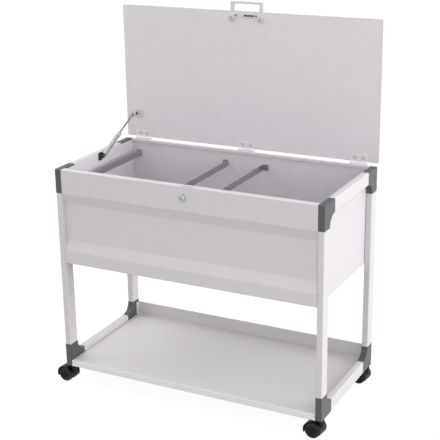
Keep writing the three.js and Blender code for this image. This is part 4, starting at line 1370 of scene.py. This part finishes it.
@dataclass
class Strut:
    """The gas strut between the tub's left side and the lid.

    Attributes:
        tube: Radius of the pressure tube.
        rod: Radius of the rod.
        eye: Radius of the end eyes.
        eye_width: Width of the eyes.
        pin: Radius of the pivot pins.
        start: Where the tube starts from the lower pivot.
        end: Where the tube ends.
        opened: Distance between the pivots with the lid open.
        held: Length of rod in the tube with the lid open.
        plate: Thickness of the brackets.
        boss: Radius of the lower bracket's boss.
    """

    tube: float = 0.0075
    rod: float = 0.003
    eye: float = 0.0048
    eye_width: float = 0.008
    pin: float = 0.0025
    start: float = 0.009
    end: float = 0.120516
    opened: float = 0.220745
    held: float = 0.008
    plate: float = 0.002
    boss: float = 0.005

    def build(self) -> None:
        """Builds the tube, the rod and the brackets."""
        pivot = Vector(JOINTS["strut_swing"]["pos_m"])
        along = Vector(JOINTS["strut_slide"]["axis"]).normalized()
        place = placed(AXIS_X, along.cross(AXIS_X), along, pivot)
        self.pressure_tube(place, pivot)
        self.slide_rod(place, pivot + along * self.opened)
        self.tub_bracket(pivot)
        self.lid_bracket(pivot + along * self.opened)

    def eyelet(self, draft: Draft, pivot: Vector, bore: float) -> None:
        """Adds an end eye.

        Args:
            draft: The tube or the rod.
            pivot: Middle of the eye.
            bore: Radius of its hole; 0 for none.
        """
        half = self.eye_width / 2
        corners = [(bore, -half), (self.eye, -half), (self.eye, half), (bore, half)]
        profile = rounded_path(corners, [0, 0.0007, 0.0007, 0], 3, closed=True)
        draft.turned(profile, Run.ALONG_X.at(*pivot), 32)

    def pressure_tube(self, place: Matrix, pivot: Vector) -> None:
        """Builds the pressure tube with its rolled end and lower eye.

        Args:
            place: The strut's axis from the lower pivot.
            pivot: The lower pivot.
        """
        draft, bore, radius = Draft(), self.rod + FIT, self.tube
        groove = self.end - 0.012
        corners = [
            (bore, self.start + 0.003), (bore, self.end), (radius - 0.0012, self.end), (radius, self.end - 0.0016),
            (radius, groove + 0.0016), (radius - 0.0007, groove), (radius, groove - 0.0016),
            (radius, self.start + 0.001), (radius - 0.001, self.start), (0, self.start), (0, self.start + 0.003),
        ]
        profile = rounded_path(corners, [0, 0, 0.0006, 0.0006, 0.0006, 0.0008, 0.0006, 0.0006, 0.0006, 0, 0], 3, closed=True)
        draft.turned(profile, place, 40)
        neck = [(0, self.eye * 0.8), (self.rod, self.eye * 0.8), (self.rod, self.start + 0.001), (0, self.start + 0.001)]
        draft.turned(neck, place, 24)
        self.eyelet(draft, pivot, self.pin + FIT)
        axis = place.col[2].to_3d()
        draft.assign(1, lambda point: (point - pivot).dot(axis) < self.start - 0.0004)
        make_piece(draft, "strut_pressure_tube", "strut_tube", (TUBE_STEEL, DARK_CLIP_AND_SHADE), "strut_tube")

    def slide_rod(self, place: Matrix, pivot: Vector) -> None:
        """Builds the rod with its eye and pin.

        Args:
            place: The strut's axis from the lower pivot.
            pivot: The upper pivot.
        """
        draft, top = Draft(), self.opened - self.eye * 0.8
        draft.turned([(0, self.end - self.held), (self.rod, self.end - self.held), (self.rod, top), (0, top)], place, 28)
        self.eyelet(draft, pivot, 0.0)
        reach = self.eye_width / 2 + self.plate
        pin = rounded_path([(0, 0), (self.pin, 0), (self.pin, reach), (0, reach)], [0, 0, 0.0004, 0], 3, closed=True)
        draft.turned(pin, Run.ALONG_X.at(*pivot), 24)
        make_piece(draft, "strut_slide_rod", "strut_rod", ROD_STEEL, "strut_rod")

    def tub_bracket(self, pivot: Vector) -> None:
        """Builds the dark bracket on the tub's side.

        Args:
            pivot: The lower pivot.
        """
        low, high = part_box("strut_tub_bracket")
        outline = rectangle(high.y - low.y, high.z - low.z, 0.004, 5)
        place = Run.ALONG_X.at(low.x, (low.y + high.y) / 2, (low.z + high.z) / 2)
        draft = Draft().prism(outline, place, 0.0, self.plate).soften(0.0005, 2)
        shoulder = pivot.x - self.eye_width / 2 - FIT - low.x
        far = high.x - low.x
        corners = [(0, self.plate * 0.5), (self.boss + 0.0015, self.plate), (self.boss, self.plate + 0.0015), (self.boss, shoulder),
                   (self.pin, shoulder), (self.pin, far), (0, far)]
        profile = rounded_path(corners, [0, 0, 0.001, 0.0005, 0, 0.0005, 0], 3, closed=True)
        draft.turned(profile, Run.ALONG_X.at(low.x, pivot.y, pivot.z), 32)
        make_piece(draft, "strut_tub_bracket_clip", "frame", DARK_CLIP_AND_SHADE, "strut_tub_bracket")

    def lid_bracket(self, pivot: Vector) -> None:
        """Builds the angle bracket on the lid.

        Args:
            pivot: The upper pivot.
        """
        low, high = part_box("strut_lid_bracket")
        angle = [(low.x, pivot.y + self.eye), (low.x, high.y), (high.x, high.y)]
        fold = sheet_outline(rounded_path(angle, [0, 0.003, 0], 5), -self.plate)
        draft = Draft().prism(fold, Run.ALONG_Z.at(), low.z, high.z)
        tip = rounded_path([(high.y - 0.003, pivot.z - self.eye), (low.y, pivot.z - self.eye), (low.y, pivot.z + self.eye),
                            (high.y - 0.003, pivot.z + self.eye)], [0, self.eye * 0.95, self.eye * 0.95, 0], 6, closed=True)
        draft.soften(0.0004, 2)
        draft.add(Draft().prism(tip, Run.ALONG_X.at(), low.x, low.x + self.plate).soften(0.0004, 2))
        make_piece(draft, "strut_lid_bracket_angle", "lid", BRACKET_ZINC_AND_SHADE, "strut_lid_bracket")

    def screws(self) -> list[Screw]:
        """The screws of the lid's bracket."""
        low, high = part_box("strut_lid_bracket")
        x, middle = high.x - 0.008, (low.z + high.z) / 2
        return [Screw(Vector((x, high.y - self.plate, middle + rise)), -AXIS_Y, 0.0026) for rise in (-0.008, 0.008)]


@dataclass
class Castor:
    """One twin-wheel swivel castor.

    Attributes:
        name: The castor's name, which is also its body's.
        wheel: Radius of the wheels.
        wheel_width: Width of a wheel.
        wheel_gap: Gap between a wheel and the web.
        web: Width of the web between the wheels.
        hub: Radius of the hub on the web.
        axle: Radius of the axle.
        hood_inner: Inner radius of the hood.
        hood_outer: Outer radius of the hood.
        hood_width: Width of the hood.
        hood_front: Angle at which the hood ends on the pivot side, in degrees.
        hood_back: Angle at which it ends on the far side.
        boss: Radius of the pivot boss.
        boss_height: Height of the boss.
        stem: Radius of the stem.
        trail: Distance of the axle from the pivot.
    """

    name: str
    wheel: float = 0.0247
    wheel_width: float = 0.017
    wheel_gap: float = 0.0008
    web: float = 0.008
    hub: float = 0.009
    axle: float = 0.003
    hood_inner: float = 0.027
    hood_outer: float = 0.0295
    hood_width: float = 0.045
    hood_front: float = -20.0
    hood_back: float = 200.0
    boss: float = 0.011
    boss_height: float = 0.024
    stem: float = 0.0055
    trail: float = 0.020

    def build(self) -> None:
        """Builds the housing, the axle and both wheels."""
        roll = JOINTS[f"{self.name}_wheel_inner_roll"]
        across = Vector(roll["axis"]).normalized()
        ahead = across.cross(AXIS_Z)
        axle = Vector(roll["pos_m"])
        pivot = axle + ahead * self.trail
        self.housing(placed(ahead, AXIS_Z, across, axle), pivot)
        self.pin(placed(ahead, AXIS_Z, across, axle))
        self.roller("inner", placed(ahead, AXIS_Z, across, axle))
        self.roller("outer", placed(ahead, AXIS_Z, -across, axle))

    def housing(self, place: Matrix, pivot: Vector) -> None:
        """Builds the moulded hood, web, boss and stem.

        Args:
            place: The castor's side view about the axle.
            pivot: A point on the pivot's axis.
        """
        node = f"{self.name}_housing"
        low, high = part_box(node)
        top = JOINTS[f"{self.name}_swivel"]["pos_m"][2] - FIT
        front, back, half = self.hood_front, self.hood_back, self.hood_width / 2
        middle, wall, steps = self.hood_inner + 0.0005, self.hood_outer - self.hood_inner, 60
        shell = arc(self.hood_inner, back, front, 48)
        for step in range(steps + 1):
            share = step / steps
            full = min(1.0, 6 * share, 4 * (1 - share))
            radius = self.hood_inner + wall * (0.3 + 0.7 * full)
            turn = math.radians(front + (back - front) * share)
            shell.append((radius * math.cos(turn), radius * math.sin(turn)))
        draft = Draft().prism(shell, place, -half, half).soften(0.0004, 3)
        web = [*arc(middle, front, back, 48), *arc(self.hub, back, front + 360, 32)]
        draft.carve(Draft().prism(web, place, -self.web / 2, self.web / 2), Carving.JOIN)
        upright = Run.ALONG_Z.at(pivot.x, pivot.y, 0)
        post = rounded_path([(0, top - self.boss_height), (self.boss, top - self.boss_height), (self.boss, top), (0, top)],
                            [0, 0, 0.0016, 0], 4, closed=True)
        boss = Draft().turned(post, upright, 40)
        well = Draft().prism(arc(middle, 0, 360, 72)[:-1], place, -0.04, 0.04)
        draft.carve(boss.carve(well, Carving.CUT), Carving.JOIN)
        stem = [
            (0, top - 0.002), (self.stem, top - 0.002), (self.stem, high.z - 0.001), (self.stem - 0.001, high.z),
            (0, high.z),
        ]
        draft.carve(Draft().turned(stem, upright, 24), Carving.JOIN)
        draft.carve(Draft().prism(arc(self.axle + FIT, 0, 360, 24)[:-1], place, -0.04, 0.04), Carving.CUT)
        make_piece(draft, f"{node}_moulding", self.name, CASTOR_PLASTIC, node)

    def pin(self, place: Matrix) -> None:
        """Builds the axle with domed ends.

        Args:
            place: The castor's side view about the axle.
        """
        half = self.web / 2 + self.wheel_gap + self.wheel_width - 0.0015
        corners = [(0, -half), (self.axle, -half), (self.axle, half), (0, half)]
        profile = rounded_path(corners, [0, 0.0012, 0.0012, 0], 4, closed=True)
        make_piece(Draft().turned(profile, place, 24), f"{self.name}_axle_pin", self.name, DARK_SCREW, f"{self.name}_axle")

    def roller(self, which: str, place: Matrix) -> None:
        """Builds one wheel with a soft tread and a dished face.

        Args:
            which: Inner or outer.
            place: The castor's side view about the axle, drawn out towards this wheel.
        """
        node, bore = f"{self.name}_wheel_{which}", self.axle + FIT
        near = self.web / 2 + self.wheel_gap
        far, rim, radius = near + self.wheel_width, self.wheel - 0.009, self.wheel
        corners = [
            (bore, near), (radius - 0.001, near), (radius, near + 0.002), (radius, far - 0.0035), (radius - 0.0035, far),
            (rim, far), (rim - 0.002, far - 0.002), (0.008, far - 0.002), (0.007, far), (bore, far),
        ]
        radii = [0, 0.0008, 0.0014, 0.003, 0.002, 0.0008, 0.0008, 0.0005, 0.0006, 0]
        draft = Draft().turned(rounded_path(corners, radii, 4, closed=True), place, 72)
        middle, out = place.translation, place.col[2].to_3d()

        def on_disc(point: Vector) -> bool:
            """Whether a face lies inside the tread."""
            arm = point - middle
            return (arm - out * arm.dot(out)).length < radius - 0.0042

        draft.assign(1, on_disc)
        make_piece(draft, f"{node}_roller", node, (TREAD, CASTOR_PLASTIC), node)


# Studio


@dataclass(frozen=True)
class Lamp:
    """A round soft lamp aimed at the cart.

    Attributes:
        strength: Light that falls on the cart, in watts on a square metre.
        towards: The way from the cart to the lamp.
        distance: How far off it stands.
        width: Its diameter.
    """

    strength: float
    towards: tuple[float, float, float]
    distance: float
    width: float

    def build(self) -> None:
        """Sets up the lamp."""
        light = bpy.data.lights.new("soft_lamp", "AREA")
        light.shape, light.size = "DISK", self.width
        light.energy = self.strength * math.pi * self.distance ** 2
        way = Vector(self.towards).normalized()
        lamp = bpy.data.objects.new("soft_lamp", light)
        stand = Matrix.Translation(AXIS_Z * 0.6 + way * self.distance)
        lamp.matrix_world = stand @ way.to_track_quat("Z", "Y").to_matrix().to_4x4()
        bpy.context.scene.collection.objects.link(lamp)


@dataclass
class Studio:
    """Plain pale floor, soft light and the camera.

    Attributes:
        azimuth: Degrees that the camera stands to the right of the front.
        elevation: Degrees that it looks down.
        roll: Degrees that it is tilted.
        lens: Focal length in millimetres on a sensor 36 wide.
        eye: Where it stands, from the middle of the side frames.
        ambient: Strength of the light from all round, level with the cart.
        fall: Share of it that is missing straight above.
        lamps: The soft lights from the right, from high on the left and from the front.
    """

    azimuth: float = 27.09
    elevation: float = 18.71
    roll: float = -0.82
    lens: float = 91.71
    eye: tuple[float, float, float] = (1.5262, -2.9584, 1.6885)
    ambient: float = 1.15
    fall: float = 0.26
    lamps: tuple[Lamp, ...] = (
        Lamp(1.95, (0.97, 0.06, 0.20), 7.0, 3.5),
        Lamp(0.8, (-0.62, -0.08, 0.78), 6.0, 3.5),
        Lamp(0.45, (0.42, -0.76, 0.45), 3.0, 2.0),
    )

    def build(self) -> None:
        """Sets up the camera, the light and the floor."""
        scene = bpy.context.scene
        scene.view_settings.view_transform = "Standard"
        self.camera()
        self.sky()
        self.floor()
        for lamp in self.lamps:
            lamp.build()

    def camera(self) -> None:
        """Puts the camera at the photograph's angle."""
        boxes = [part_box(f"post_{end}_{side}") for end in ENDS for side in SIDES]
        middle = sum(((low + high) / 2 for low, high in boxes), Vector()) / len(boxes)
        turn, tilt, roll = map(math.radians, (self.azimuth, self.elevation, self.roll))
        back = Vector((math.sin(turn) * math.cos(tilt), -math.cos(turn) * math.cos(tilt), math.sin(tilt)))
        level = (-back).cross(AXIS_Z).normalized()
        upright = level.cross(-back)
        right = level * math.cos(roll) + upright * math.sin(roll)
        up = upright * math.cos(roll) - level * math.sin(roll)
        lens = bpy.data.cameras.new("photo_camera")
        lens.lens, lens.sensor_width, lens.sensor_fit = self.lens, 36.0, "HORIZONTAL"
        lens.clip_end = 100.0
        camera = bpy.data.objects.new("photo_camera", lens)
        camera.matrix_world = placed(right, up, back, Vector(self.eye) + Vector((middle.x, middle.y, 0)))
        bpy.context.scene.collection.objects.link(camera)
        bpy.context.scene.camera = camera

    @staticmethod
    def seen(wiring: Wiring) -> bpy.types.NodeSocket:
        """1 for rays that show the background: from the camera, from gloss and through glass."""
        path = wiring.add("ShaderNodeLightPath")
        either = wiring.math("MAXIMUM", path.outputs["Is Camera Ray"], path.outputs["Is Glossy Ray"])
        return wiring.math("MAXIMUM", either, path.outputs["Is Transmission Ray"])

    def sky(self) -> None:
        """White behind the cart and soft light from all round, weaker from above."""
        world = bpy.data.worlds.new("white_studio")
        world.use_nodes = True
        world.node_tree.nodes.clear()
        wiring = Wiring(world.node_tree)
        way = wiring.add("ShaderNodeTexCoord").outputs["Generated"]
        height = wiring.math("ABSOLUTE", wiring.add("ShaderNodeSeparateXYZ", {0: way}).outputs["Z"], 0.0)
        share = wiring.math("SUBTRACT", 1.0, wiring.math("MULTIPLY", height, self.fall))
        strength = wiring.math("MULTIPLY", share, self.ambient)
        lit = wiring.add("ShaderNodeBackground", {"Color": (1, 1, 1, 1), "Strength": strength})
        shown = wiring.add("ShaderNodeBackground", {"Color": (1, 1, 1, 1), "Strength": 1.0})
        mix = wiring.add("ShaderNodeMixShader", {0: self.seen(wiring), 1: lit.outputs[0], 2: shown.outputs[0]})
        wiring.add("ShaderNodeOutputWorld", {"Surface": mix.outputs[0]})
        bpy.context.scene.world = world

    def floor(self) -> None:
        """A wide white floor that keeps a faint shadow."""
        mesh = bpy.data.meshes.new("studio_floor")
        reach = 16.0
        corners = [(-reach, -reach, 0), (reach, -reach, 0), (reach, reach, 0), (-reach, reach, 0)]
        mesh.from_pydata(corners, [], [(0, 1, 2, 3)])
        floor = bpy.data.objects.new("studio_floor", mesh)
        floor.location.z = -0.0005
        bpy.context.scene.collection.objects.link(floor)
        made = bpy.data.materials.new("studio_white")
        made.use_nodes = True
        made.node_tree.nodes.clear()
        wiring = Wiring(made.node_tree)
        bounce = wiring.add("ShaderNodeBsdfDiffuse", {"Color": (0.40, 0.40, 0.40, 1)})
        glow = wiring.add("ShaderNodeEmission", {"Color": (1, 1, 1, 1), "Strength": 0.94})
        shaded = wiring.add("ShaderNodeBsdfDiffuse", {"Color": (0.09, 0.09, 0.09, 1)})
        white = wiring.add("ShaderNodeAddShader", {0: glow.outputs[0], 1: shaded.outputs[0]})
        mix = wiring.add("ShaderNodeMixShader", {0: self.seen(wiring), 1: bounce.outputs[0], 2: white.outputs[0]})
        wiring.add("ShaderNodeOutputMaterial", {"Surface": mix.outputs[0]})
        mesh.materials.append(made)


def main() -> None:
    """Builds the studio and the cart, piece by piece."""
    logging.basicConfig(level=logging.INFO, format="%(name)s: %(message)s")
    Studio().build()
    SideFrames().build()
    Tub().build()
    Shelf().build()
    lid, hinges, strut = Lid(), Hinges(), Strut()
    for assembly in (lid, hinges, Lock(), strut):
        assembly.build()
    for end in ENDS:
        for side in SIDES:
            Castor(f"castor_{end}_{side}").build()
    handle_screws, catch_screws = lid.screws()
    leaf_screws, rim_screws = hinges.screws()
    ScrewSet("lid_screws", "lid", BRACKET_ZINC_AND_SHADE, seed=3).build(handle_screws + leaf_screws + strut.screws())
    ScrewSet("catch_screws", "lid", DARK_SCREW, seed=5).build(catch_screws)
    ScrewSet("rim_screws", "frame", BRACKET_ZINC_AND_SHADE, seed=7).build(rim_screws)


if __name__ == "__main__":
    main()
